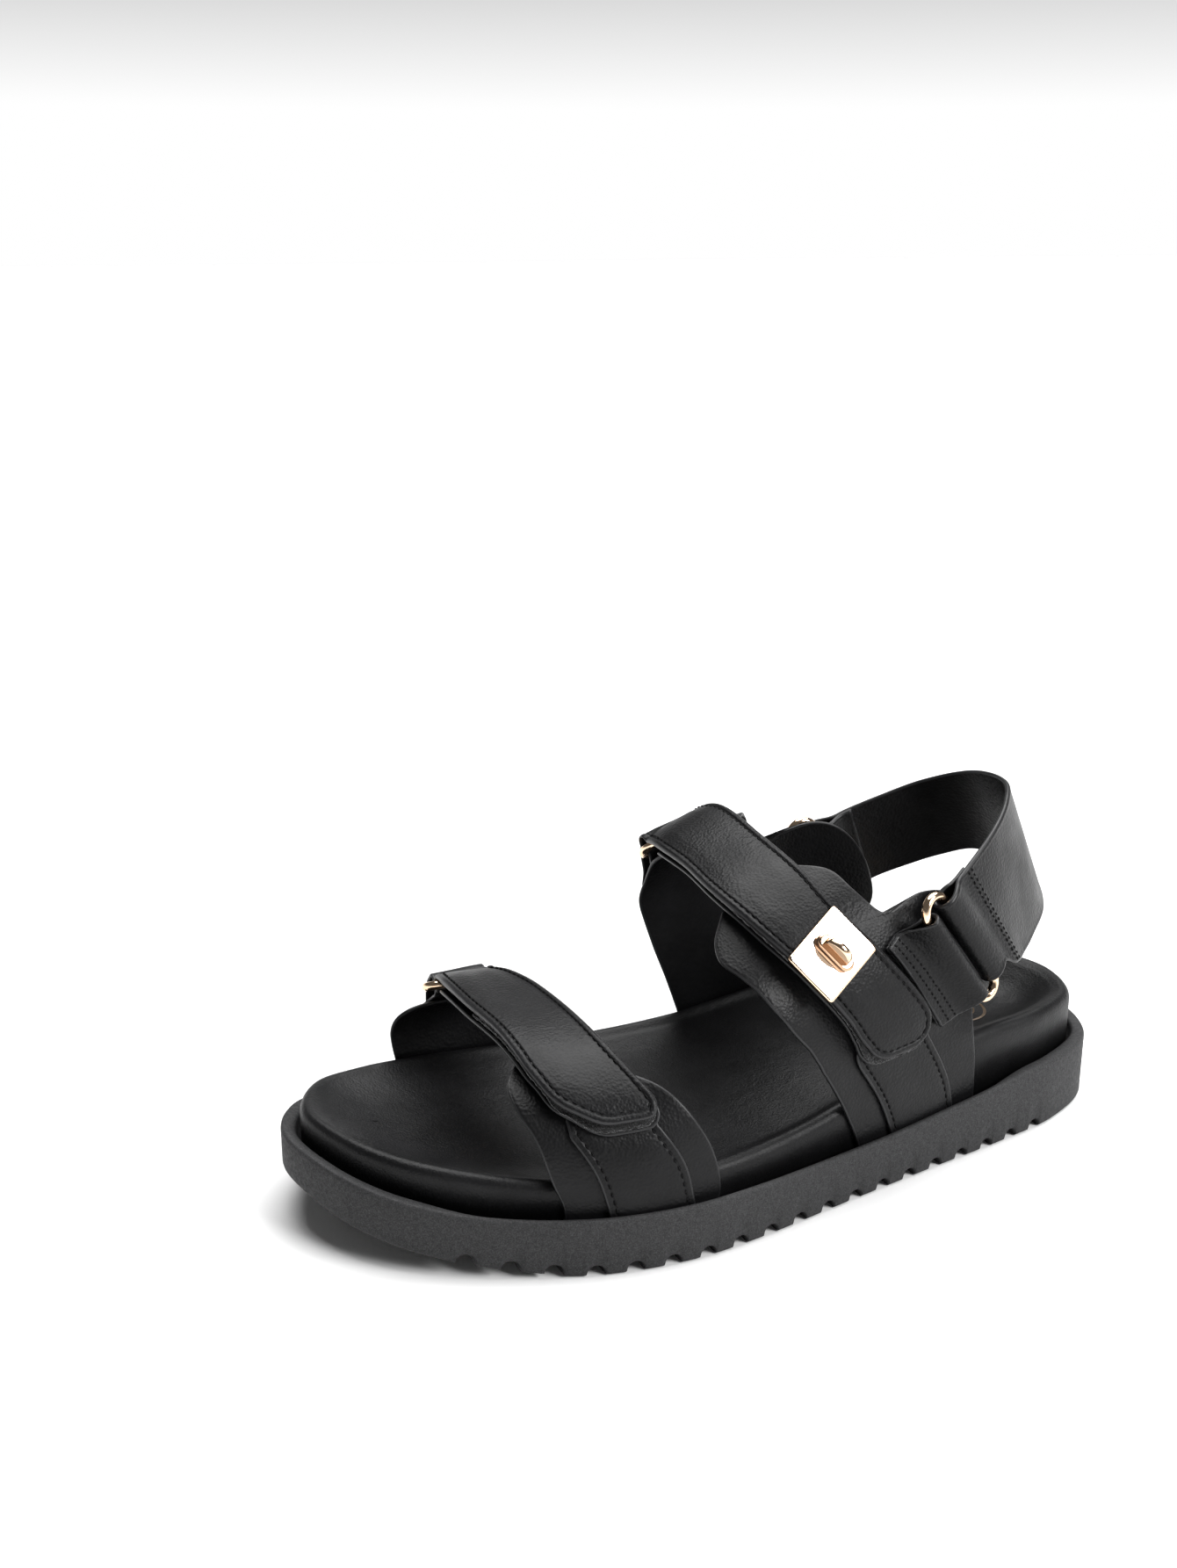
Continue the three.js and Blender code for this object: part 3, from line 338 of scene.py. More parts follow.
def spread(width, middle_steps, low=True, high=True):
    """Positions over a width, close together near its free ends."""
    scale = min(1.0, width / 2 / 6)
    start = NEAR_EDGE * scale if low else np.array([0.0])
    end = width - (NEAR_EDGE * scale if high else np.array([0.0]))[::-1]
    return np.concatenate([start, np.linspace(start[-1], end[0], middle_steps + 2)[1:-1], end])


# ---------------------------------------------------------------- straps on the foot
def edge(points, offset):
    """A strap's edge as y against u, from points along it."""
    return smooth(sorted([(u_near(p, offset), p[1]) for p in points]))


def corner(radius, distance):
    inside = np.clip(radius - distance, 0, radius)
    return radius - np.sqrt(max(radius, 1e-9) ** 2 - inside ** 2) if radius else 0.0


def strap_grid(start, end, front, rear, start_round=(0, 0), end_round=(0, 0), free_end=True, free_start=True):
    """u and y over a strap from u = start to u = end; its corners may be rounded at front and rear."""
    length = section_length(float(front((start + end) / 2) + rear((start + end) / 2)) / 2)
    size = (end - start) * length
    along = spread(size, max(int(size / 1.1), 4), free_start, free_end)
    us = start + along / length
    rows = []
    for u, s in zip(us, along):
        trims = [corner(start_round[k], s) + corner(end_round[k], size - s) for k in (0, 1)]
        y0, y1 = float(front(u)) + trims[0], float(rear(u)) - trims[1]
        rows.append(y0 + spread(y1 - y0, 14))
    y = np.array(rows)
    return np.repeat(us[:, None], y.shape[1], axis=1), y, length


def turn(points, centre, axis, angle):
    """Points turned about a line, in degrees."""
    rotation = np.array(Matrix.Rotation(math.radians(angle), 3, Vector(axis)))
    return (points - centre) @ rotation.T + centre


def wrapped(row, normal_row, bar_centre, axis, degrees, steps=14):
    """Rows that carry a strap's end row round a bar."""
    rows, normals = [], []
    for k in range(1, steps + 1):
        angle = degrees * k / steps
        rows.append(turn(row, bar_centre, axis, angle))
        normals.append(turn(normal_row, np.zeros(3), axis, angle))
    return np.array(rows), np.array(normals)


def ring_frame(centre, bar, outward, climb_hint):
    """centre, bar direction, climb (up the strap) and out (off the foot)."""
    bar = unit(bar)
    out = unit(outward - bar * (outward @ bar))
    climb = unit(np.cross(out, bar))
    if climb @ climb_hint < 0:
        climb, bar = -climb, -bar
    return {"centre": centre, "bar": bar, "climb": climb, "out": out}


def strap_ring(front, rear):
    a, b = (on_foot(u_near(p, BAR_OFFSET), p[1], BAR_OFFSET) for p in (front, rear))
    centre = (a + b) / 2
    u = u_near(centre, BAR_OFFSET)
    up_strap = foot_point(u - 0.02, centre[1]) - foot_point(u + 0.02, centre[1])
    made = ring_frame(centre, b - a, foot_normal(u, centre[1]), up_strap)
    return {**made, "u": u, "length": float(np.linalg.norm(b - a))}


# ---------------------------------------------------------------- materials
def material(name):
    made = bpy.data.materials.new(name)
    made.use_nodes = True
    nodes = made.node_tree.nodes
    return made, nodes, made.node_tree.links, nodes["Principled BSDF"]


def texture(nodes, links, kind, scale, **settings):
    coords = nodes.get("Coords") or nodes.new("ShaderNodeTexCoord")
    coords.name = "Coords"
    made = nodes.new(kind)
    made.inputs["Scale"].default_value = scale
    for key, value in settings.items():
        made.inputs[key].default_value = value
    links.new(coords.outputs["Object"], made.inputs["Vector"])
    return made


def ramp(nodes, links, source, low, high, start=0.3, end=0.7):
    """A colour ramp between two colours, or two greys."""
    made = nodes.new("ShaderNodeValToRGB")
    for element, position, value in zip(made.color_ramp.elements, (start, end), (low, high)):
        element.position = position
        element.color = (*value, 1) if hasattr(value, "__len__") else (value, value, value, 1)
    links.new(source, made.inputs["Fac"])
    return made.outputs["Color"]


def bump(nodes, links, height, distance, strength=1.0, before=None):
    made = nodes.new("ShaderNodeBump")
    made.inputs["Distance"].default_value = distance
    made.inputs["Strength"].default_value = strength
    links.new(height, made.inputs["Height"])
    if before:
        links.new(before, made.inputs["Normal"])
    return made.outputs["Normal"]


def leather_material(name, dark, light, rough, grain=1150.0, depth=0.00014, specular=0.17, crease=0.00018):
    made, nodes, links, shader = material(name)
    mottle = texture(nodes, links, "ShaderNodeTexNoise", 60.0, Detail=3.0)
    links.new(ramp(nodes, links, mottle.outputs["Fac"], dark, light), shader.inputs["Base Color"])
    patches = texture(nodes, links, "ShaderNodeTexNoise", 90.0, Detail=4.0)
    links.new(ramp(nodes, links, patches.outputs["Fac"], rough[0], rough[1]), shader.inputs["Roughness"])
    pebble = texture(nodes, links, "ShaderNodeTexVoronoi", grain, Randomness=1.0)
    folds = texture(nodes, links, "ShaderNodeTexNoise", 260.0, Detail=6.0, Roughness=0.6, Distortion=0.6)
    first = bump(nodes, links, folds.outputs["Fac"], crease, 0.6)
    links.new(bump(nodes, links, pebble.outputs["Distance"], depth, 0.7, first), shader.inputs["Normal"])
    shader.inputs["Specular IOR Level"].default_value = specular
    return made


def eva_material():
    made, nodes, links, shader = material("outsole_eva")
    speckle = texture(nodes, links, "ShaderNodeTexNoise", 2600.0, Detail=3.0)
    dark, light = (0.012, 0.012, 0.0126), (0.044, 0.044, 0.046)
    links.new(ramp(nodes, links, speckle.outputs["Fac"], dark, light, 0.4, 0.82), shader.inputs["Base Color"])
    cells = texture(nodes, links, "ShaderNodeTexNoise", 900.0, Detail=5.0)
    links.new(ramp(nodes, links, cells.outputs["Fac"], 0.62, 0.85), shader.inputs["Roughness"])
    links.new(bump(nodes, links, cells.outputs["Fac"], 0.00012, 0.7), shader.inputs["Normal"])
    shader.inputs["Specular IOR Level"].default_value = 0.35
    return made


def metal_material(name, low, high, rough):
    made, nodes, links, shader = material(name)
    shader.inputs["Metallic"].default_value = 1.0
    tint = texture(nodes, links, "ShaderNodeTexNoise", 120.0, Detail=2.0)
    links.new(ramp(nodes, links, tint.outputs["Fac"], low, high), shader.inputs["Base Color"])
    haze = texture(nodes, links, "ShaderNodeTexNoise", 700.0, Detail=6.0)
    links.new(ramp(nodes, links, haze.outputs["Fac"], rough[0], rough[1]), shader.inputs["Roughness"])
    links.new(bump(nodes, links, haze.outputs["Fac"], 0.000004, 0.4), shader.inputs["Normal"])
    return made


def tape_material():
    made, nodes, links, shader = material("hook_and_loop")
    fuzz = texture(nodes, links, "ShaderNodeTexNoise", 2600.0, Detail=4.0)
    links.new(ramp(nodes, links, fuzz.outputs["Fac"], (0.002, 0.002, 0.002), (0.1, 0.1, 0.105), 0.52, 0.82),
              shader.inputs["Base Color"])
    links.new(bump(nodes, links, fuzz.outputs["Fac"], 0.0003, 1.0), shader.inputs["Normal"])
    shader.inputs["Roughness"].default_value = 0.9
    shader.inputs["Sheen Weight"].default_value = 0.3
    return made


def thread_material():
    made, nodes, links, shader = material("thread")
    twist = texture(nodes, links, "ShaderNodeTexWave", 900.0, Distortion=1.5)
    # black thread, with its tone set below the leather's as painted shade for the stitch holes; the thread
    # itself is black
    links.new(ramp(nodes, links, twist.outputs["Fac"], (0.0015, 0.0015, 0.0015), (0.005, 0.005, 0.0055)),
              shader.inputs["Base Color"])
    links.new(bump(nodes, links, twist.outputs["Fac"], 0.00008, 0.8), shader.inputs["Normal"])
    shader.inputs["Roughness"].default_value = 0.7
    shader.inputs["Specular IOR Level"].default_value = 0.12
    return made


def board_material():
    made, nodes, links, shader = material("fibre_board")
    fibres = texture(nodes, links, "ShaderNodeTexNoise", 800.0, Detail=6.0)
    links.new(ramp(nodes, links, fibres.outputs["Fac"], (0.1, 0.07, 0.04), (0.2, 0.15, 0.09)),
              shader.inputs["Base Color"])
    shader.inputs["Roughness"].default_value = 0.9
    return made


LEATHER = leather_material("strap_leather", (0.0035, 0.0035, 0.0038), (0.006, 0.006, 0.0065), (0.34, 0.46))
FOOTBED = leather_material("footbed_leather", (0.0035, 0.0035, 0.0038), (0.0065, 0.0065, 0.007), (0.38, 0.5),
                           grain=1500.0, depth=0.00008, crease=0.0003)
EDGE_COAT = leather_material("edge_paint", (0.006, 0.006, 0.0066), (0.011, 0.011, 0.012), (0.36, 0.44),
                             depth=0.00001, specular=0.35)
EVA = eva_material()
GOLD = metal_material("pale_gold", (0.86, 0.62, 0.42), (0.93, 0.7, 0.5), (0.08, 0.16))
MIRROR = metal_material("mirror_plate", (0.95, 0.9, 0.85), (0.98, 0.94, 0.9), (0.04, 0.08))
COPPER = metal_material("copper_gold", (0.6, 0.36, 0.22), (0.74, 0.48, 0.32), (0.12, 0.22))
STEEL = metal_material("steel", (0.4, 0.41, 0.43), (0.5, 0.51, 0.53), (0.3, 0.45))
TAPE = tape_material()
THREAD = thread_material()
BOARD = board_material()
STRAP = [LEATHER, EDGE_COAT]


def settle(obj, body, slot, *nodes):
    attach(obj, body)
    if nodes:
        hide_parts(*nodes)
    return obj


# ---------------------------------------------------------------- sole
def sole_ring(inset, height, ys):
    """Points round the sole at one inset. `ys` run along the foot for no inset, drawn in at toe and heel."""
    outer, inner = sides(inset)
    fixed = 100
    low, high = outer[0, 1], outer[-1, 1]
    toe, heel = ys[0], ys[-1]
    y = np.where(ys < -fixed, low + (ys - toe) * (-fixed - low) / (-fixed - toe), ys)
    y = np.where(ys > fixed, high + (ys - heel) * (high - fixed) / (heel - fixed), y)
    xl, xm = side_x(outer, y), side_x(inner, y)
    z = height(y)
    right = np.stack([xl, y, z], axis=1)
    left = np.stack([xm, y, z], axis=1)[1:-1][::-1]
    return np.vstack([right, left])


def ring_stack(name, rings, materials):
    """A closed solid through a run of rings, closed by strips across the foot."""
    n = len(rings[0])
    faces = grid_faces(len(rings), n, wrap=True)
    last = (len(rings) - 1) * n
    for k in range(n // 2):
        a, b, c, d = k, k + 1, (n - k - 1) % n, (n - k) % n
        for base, flip in ((last, False), (0, True)):
            quad = [base + v for v in (a, b, c, d)]
            quad = [v for i, v in enumerate(quad) if v not in quad[:i]]
            faces.append(tuple(quad[::-1] if flip else quad))
    return mesh_object(name, np.vstack(rings), faces, materials)


def ends_close(count):
    outer = sides(0)[0]
    return outer[0, 1] + (outer[-1, 1] - outer[0, 1]) * (1 - np.cos(np.pi * np.linspace(0, 1, count))) / 2


def tread_cut(y):
    """Height of the grooves' roofs across the underside; zero between them."""
    roof = np.zeros_like(y)
    for i in range(TREAD["count"]):
        centre = TREAD["first"] + i * TREAD["pitch"]
        reach = np.clip(TREAD["radius"] ** 2 - (y - centre) ** 2, 0, None)
        cut = underside(np.array(centre)) + TREAD["rise"] + np.sqrt(reach)
        roof = np.where(reach > 0, np.maximum(roof, cut), roof)
    return roof


def outsole():
    half = np.array([0.999, 0.985, 0.95, 0.87, 0.74, 0.55, 0.3])
    shape = np.concatenate([half, [0], -half[::-1]])
    centres = TREAD["first"] + TREAD["pitch"] * np.arange(TREAD["count"])
    cuts = (centres[:, None] + TREAD["radius"] * shape[None]).ravel()
    rims = (centres[:, None] + TREAD["radius"] * np.array([-1.02, 1.02])[None]).ravel()
    ys = np.unique(np.concatenate([ends_close(170), cuts, rims]))

    def ground(rise):
        return lambda y: np.maximum(underside(y) + rise, tread_cut(y) + rise * 0.4)
    def lip(inset, height):
        near, far = sole_ring(inset, height, ys), sole_ring(inset + LIP_GROWTH, height, ys)
        past_straps = (step(near[:, 1], 72, 92) + step(-near[:, 1], 92, 108))[:, None]
        return near * (1 - past_straps) + far * past_straps
    rings = [sole_ring(inset, height, ys) for inset, height in (
        (1.6, ground(0.0)), (0.8, ground(0.15)), (0.25, ground(0.6)), (0, ground(1.4)),
        (0, lambda y: (underside(y) + rim_height(y)) / 2 + 2), (0, lambda y: rim_height(y) - 1.5),
        (0.12, lambda y: rim_height(y) - 0.8), (0.45, lambda y: rim_height(y) - 0.25), (0.95, rim_height))]
    rings += [lip(inset, height) for inset, height in (
        (1.6, lambda y: rim_height(y) - 0.05), (2.1, lambda y: rim_height(y) - 0.4),
        (2.4, lambda y: rim_height(y) - 1.2), (2.4, lambda y: platform(y) + 0.01))]
    return settle(ring_stack("outsole_finished", rings, [EVA]), "sole_body", "outsole_eva", "outsole")


def footbed():
    """The wrapped footbed: rolled rim, a crease inside it and a dished floor."""
    ys = ends_close(260)
    drop = smooth([(5.6, 3.4), (5.75, 2.4), (6.2, 1.35), (7.0, 0.5), (8.0, 0.12), (9.0, 0.2), (10.2, 0.75),
                   (11.6, 1.35), (13, 1.5)])
    sink = smooth([(11.6, 0), (14, 0.24), (18.6, 0.66), (23, 0.9), (27.6, 1)])

    def height(inset):
        def at(y):
            rim = edge_height(y) - drop(np.array(inset))
            share = sink(np.array(inset))
            return rim * (1 - share) + floor_height(y) * share
        return at
    insets = [5.6, 5.64, 5.75, 5.95, 6.2, 6.6, 7, 7.5, 8, 8.5, 9, 9.6, 10.2, 10.9, 11.6, 12.4, 13.4, 14.6, 16,
              17.6, 19.4, 21.4, 23.6, 25.6, 27.6]
    rings = [sole_ring(FOOTBED_INSET + 1.2, lambda y: platform(y) + 0.3, ys),
             sole_ring(FOOTBED_INSET, lambda y: platform(y) + 0.3, ys)]
    rings += [sole_ring(i, height(i), ys) for i in insets]
    made = ring_stack("footbed_finished", rings, [FOOTBED])
    return settle(made, "sole_body", "black_leather", "footbed_cover")


def heel_mark(seat):
    """Two plain foil rings printed on the heel seat."""
    vertices = [v.co for v in seat.data.vertices]
    surface = BVHTree.FromPolygons(vertices, [p.vertices for p in seat.data.polygons])
    centre, lift = np.array([5.0, 86.0]), 0.06
    points, faces = [], []
    count = 96
    for low, high in ((10.6, 11.6), (7.4, 7.9)):
        start = len(points)
        for r in (low, high):
            for k in range(count):
                a = 2 * np.pi * k / count
                x, y = centre + r * np.array([np.cos(a), np.sin(a)])
                hit = surface.ray_cast(Vector(place((x, y, 100.0))), Vector((0, 0, -1)))[0]
                points.append((x, y, hit.z / MM + lift))
        faces += grid_faces(2, count, start, wrap=True, flip=True)
    return settle(mesh_object("heel_seat_rings", points, faces, [GOLD]), "sole_body", "pale_gold")


# ---------------------------------------------------------------- stitches
STITCH_SHAPE = ((-1, 0.15), (-0.85, 0.7), (-0.5, 1), (0, 1.08), (0.5, 1), (0.85, 0.7), (1, 0.15))
STITCH_SIDES = 8


def stitch_row(name, line, normals, body, pitch=None, lift=0.05, zigzag=0.0):
    """Short stitches sunk into the leather along a line."""
    pitch = pitch or STITCH["pitch"]
    size = float(np.linalg.norm(np.diff(line, axis=0), axis=1).sum())
    count = max(int(size / pitch), 2)
    joined = resample(np.hstack([line, normals]), count * 2 + 1)
    centres, ups = joined[1::2, :3], unit(joined[1::2, 3:])
    ahead = unit(joined[2::2, :3] - joined[:-1:2, :3])
    angles = np.linspace(0, 2 * np.pi, STITCH_SIDES, endpoint=False)
    last = (len(STITCH_SHAPE) - 1) * STITCH_SIDES
    points, faces = [], []
    for k, (centre, up, forward) in enumerate(zip(centres, ups, ahead)):
        side = unit(np.cross(up, forward))
        if zigzag:
            forward = unit(forward + side * zigzag * (1 if k % 2 else -1))
            side = unit(np.cross(up, forward))
        start = len(points)
        for s, r in STITCH_SHAPE:
            drop = STITCH["radius"] * 1.3 * s * s
            middle = centre + forward * s * pitch * 0.39 + up * (lift + 0.12 - drop)
            for a in angles:
                points.append(middle + (side * np.cos(a) + up * np.sin(a)) * STITCH["radius"] * r)
        faces += grid_faces(len(STITCH_SHAPE), STITCH_SIDES, start, wrap=True)
        faces.append(tuple(range(start, start + STITCH_SIDES))[::-1])
        faces.append(tuple(range(start + last, start + last + STITCH_SIDES)))
    made = mesh_object(name, np.array(points), faces, [THREAD])
    return settle(made, body, "black_leather")


def inset_path(u, y, length, inset, offset, borders=("front", "start", "rear")):
    """A line a fixed distance inside a strap's edge, on its outer face, with its normals."""
    flat = np.stack([u * length, y], axis=-1)
    parts = {"front": flat[::-1, 0], "start": flat[0], "rear": flat[:, -1]}
    path = np.vstack([parts[b] for b in borders])
    path = resample(path, 400)
    ahead = unit(np.gradient(path, axis=0))
    normal = np.stack([-ahead[:, 1], ahead[:, 0]], axis=1)
    centre = flat.reshape(-1, 2).mean(0)
    if ((centre - path) * normal).sum() < 0:
        normal = -normal
    moved = path + normal * inset
    gap = np.sqrt(((moved[:, None] - path[None]) ** 2).sum(-1)).min(1)
    moved = moved[gap > inset * 0.93]
    us, ys = moved[:, 0] / length, moved[:, 1]
    return on_foot(us, ys, offset), foot_normal(us, ys)


# ---------------------------------------------------------------- leather of the two adjustable strap groups
FOREFOOT = {
    "name": "forefoot",
    "corners": (11, 4.5),
    "flap_end": (50, -60, 43.6),
    "under_end": (49, -58, 39.2),
    "flap_front": [(47, -68.5, 43), (45.8, -69.2, 45.6), (42, -71.6, 48.6), (36, -73.2, 52.3),
                   (29, -74.9, 55.4), (10, -76, 58.7), (-9, -76.8, 58.4), (-28, -76.1, 56), (-40, -74.2, 52)],
    "flap_rear": [(51, -43.5, 44), (49, -44.3, 48.9), (44.7, -46.2, 52.2), (35.6, -49, 56.3),
                  (22, -50.5, 59.2), (-10, -51.3, 59.3), (-26, -53.4, 57.3), (-40, -56.1, 53)],
    "ring": ((-41, -77.5, 49), (-41.5, -51.5, 53)),
    "lateral": [
        ((51, -72, 12), (52, -29, 12)), ((51, -71.5, 18), (52, -27.8, 18)), ((50, -74.5, 28), (50, -30, 29)),
        ((39.2, -77.2, 38.2), (48, -34.5, 38)), ((33.3, -79.6, 43.8), (42, -41, 46)),
        ((26, -79.4, 48), (34, -48, 50)), ((19, -74, 50.5), (22, -57, 52))],
    "medial": [
        ((-45, -83, 12), (-46, -47, 12)), ((-45.5, -84.5, 20), (-46, -44, 20)),
        ((-46, -86.3, 30), (-46, -43.5, 30)), ((-46, -86.4, 35), (-46, -44.5, 36)),
        ((-45, -84.8, 38.5), (-45, -46, 40)), ((-44, -81, 41), (-44, -50, 43)),
        ((-43, -75, 42), (-43, -57, 44))],
    "overlay_front": [(53, -59.5, 12), (53, -61, 20), (52, -64, 31), (48, -68.5, 41)],
    "overlay_rear": [(53, -36, 12), (53, -37, 19), (52, -39.5, 29), (48, -45, 39)],
    "overlay_end": (44, -57, 48),
    "overlay_corner": 3,
    "loop_front": [(-48, -75, 12), (-48, -75.5, 20), (-48, -78, 36), (-45, -80, 44)],
    "loop_rear": [(-48, -49.5, 12), (-48, -50, 20), (-48, -52, 36), (-45, -54, 44)],
}
INSTEP = {
    "name": "instep",
    "corners": (10, 9),
    "flap_end": (46, 33, 43.5),
    "under_end": (46, 33, 40.5),
    "flap_front": [(48, 18, 48), (46, 15, 54), (42, 5.5, 66), (35, -2, 77), (25, -5, 83), (12, -6, 88),
                   (-5, -5, 89), (-20, -4.8, 89), (-32, -3.8, 89)],
    "flap_rear": [(47, 44.5, 48), (48, 42.5, 55), (47, 37, 63), (45, 29.5, 73), (35, 20, 85), (23, 17.5, 93),
                  (8, 16.5, 97), (-20, 17.2, 100), (-33, 16.6, 98)],
    "ring": ((-37, -4.8, 84), (-38.6, 21.2, 92.5)),
    "lateral": [
        ((47, 23, 11), (41, 68, 11)), ((47, 21.6, 16), (41, 68.4, 18)), ((46.5, 16, 28), (41, 68, 30)),
        ((46, 11.5, 36), (41, 67, 39)), ((46, 9.5, 39.5), (41, 69, 45)), ((46, 8.5, 41), (38, 75, 51)),
        ((46, 7.5, 43), (36, 80, 60)), ((45.5, 6, 45.5), (36, 79, 70)), ((45, 4, 48.5), (37, 73, 79)),
        ((45, 2, 51), (38, 62, 86)), ((44, -0.5, 54), (38, 50, 87.5)), ((43, -3, 57.5), (38, 43, 84.4)),
        ((41, -6, 61.5), (38, 38.7, 82.6)), ((39, -9, 67), (36, 35.5, 83)), ((36, -12, 72.5), (33, 33, 85)),
        ((31, -14.5, 78), (28, 30, 88.5)), ((24, -13, 81.5), (20, 27, 92)), ((15, -6, 86), (13, 20, 93))],
    "medial": [
        ((-35, 13, 11), (-33, 58, 11)), ((-36, 10.5, 20), (-34, 59, 20)), ((-38, 5.5, 36), (-35.5, 59.5, 34)),
        ((-39, 3, 43), (-36, 60, 41)), ((-39, 1.5, 47), (-35, 65, 47)), ((-39, 0.5, 50), (-33, 72, 51)),
        ((-39, -0.5, 53), (-31, 76, 57.5)), ((-39, -1.5, 56), (-31, 74.5, 67)),
        ((-39, -2.5, 59), (-32, 69.5, 77)),
        ((-39, -3.5, 62), (-33, 62, 84)), ((-39, -4, 65), (-36, 55, 86)), ((-38.5, -3.7, 68), (-38, 48, 84)),
        ((-38, -3, 71), (-38, 41, 80.5)), ((-37, -2.6, 75), (-37.5, 37, 81)),
        ((-35, -2.6, 79), (-36, 33, 85)),
        ((-31, -2.2, 82), (-33, 29.5, 91)), ((-25, 0, 84), (-27, 25, 95)), ((-18, 4, 87), (-19, 17, 94))],
    "overlay_front": [(47, 35, 11), (47, 33.5, 16), (46, 28.8, 27), (46, 22, 38), (46, 16, 47)],
    "overlay_rear": [(43, 58, 11), (43, 58.4, 17), (44, 55.5, 28), (45, 47.5, 43)],
    "overlay_end": (45, 32, 48),
    "overlay_corner": 8,
    "loop_front": [(-38, 24, 11), (-38, 22, 20), (-40, 9, 48), (-39, 0.5, 74), (-38, -2, 80)],
    "loop_rear": [(-36, 48, 11), (-36.5, 47, 22), (-39, 38, 48), (-39, 27, 79), (-38, 23, 86)],
}


def panel(shape, side):
    """A thin quarter spanned by ribs from its front edge to its rear edge, the first ribs at the sole."""
    girth = 150
    ribs = shape[side]
    edges = []
    for end in (0, 1):
        line = through([(u_near(rib[end], PANEL[1]) * girth, rib[end][1]) for rib in ribs], 321)
        edges.append(line)
    size = max(np.linalg.norm(np.diff(e, axis=0), axis=1).sum() for e in edges)
    along = spread(size, int(size / 1.3), low=False) / size
    front, rear = (np.stack([np.interp(along, np.linspace(0, 1, 321), e[:, k]) for k in (0, 1)], axis=1)
                   for e in edges)
    grid = []
    for a, b in zip(front, rear):
        width = max(np.linalg.norm(b - a), 1.0)
        t = (spread(width, 24) / width)[:, None]
        grid.append(a * (1 - t) + b * t)
    grid = np.array(grid)
    u, y = grid[..., 0] / girth, grid[..., 1]
    base = foot_point(u, y)
    middle = on_foot(u, y, (PANEL[0] + PANEL[1]) / 2 - wing_lean(y, base[..., 2]))
    name = shape["name"]
    obj = leather(f"{name}_{side}_quarter", middle, foot_normal(u, y), PANEL[1] - PANEL[0], STRAP,
                  radius=0.5, free="front rear end", relief=lambda d: 0.1 * step(d, 0.5, 1.2))
    return settle(obj, "sole_body", "black_leather", f"{name}_{side}_panel")


def ridge(d, centre, width):
    return np.exp(-(((d - centre) / width) ** 2))


def flap_relief(d):
    """Raised painted edge, stitch channel and padded middle of a flap."""
    bead = 0.1 * ridge(d, 1.2, 0.5)
    channel = -0.3 * ridge(d, STITCH["inset"], 0.27)
    return bead + channel + 0.3 * step(d, 2.3, 7)


def strip_relief(d):
    """A stitch channel round a slightly raised middle."""
    return -0.22 * ridge(d, STITCH["inset"], 0.27) + 0.12 * step(d, 2.4, 5)


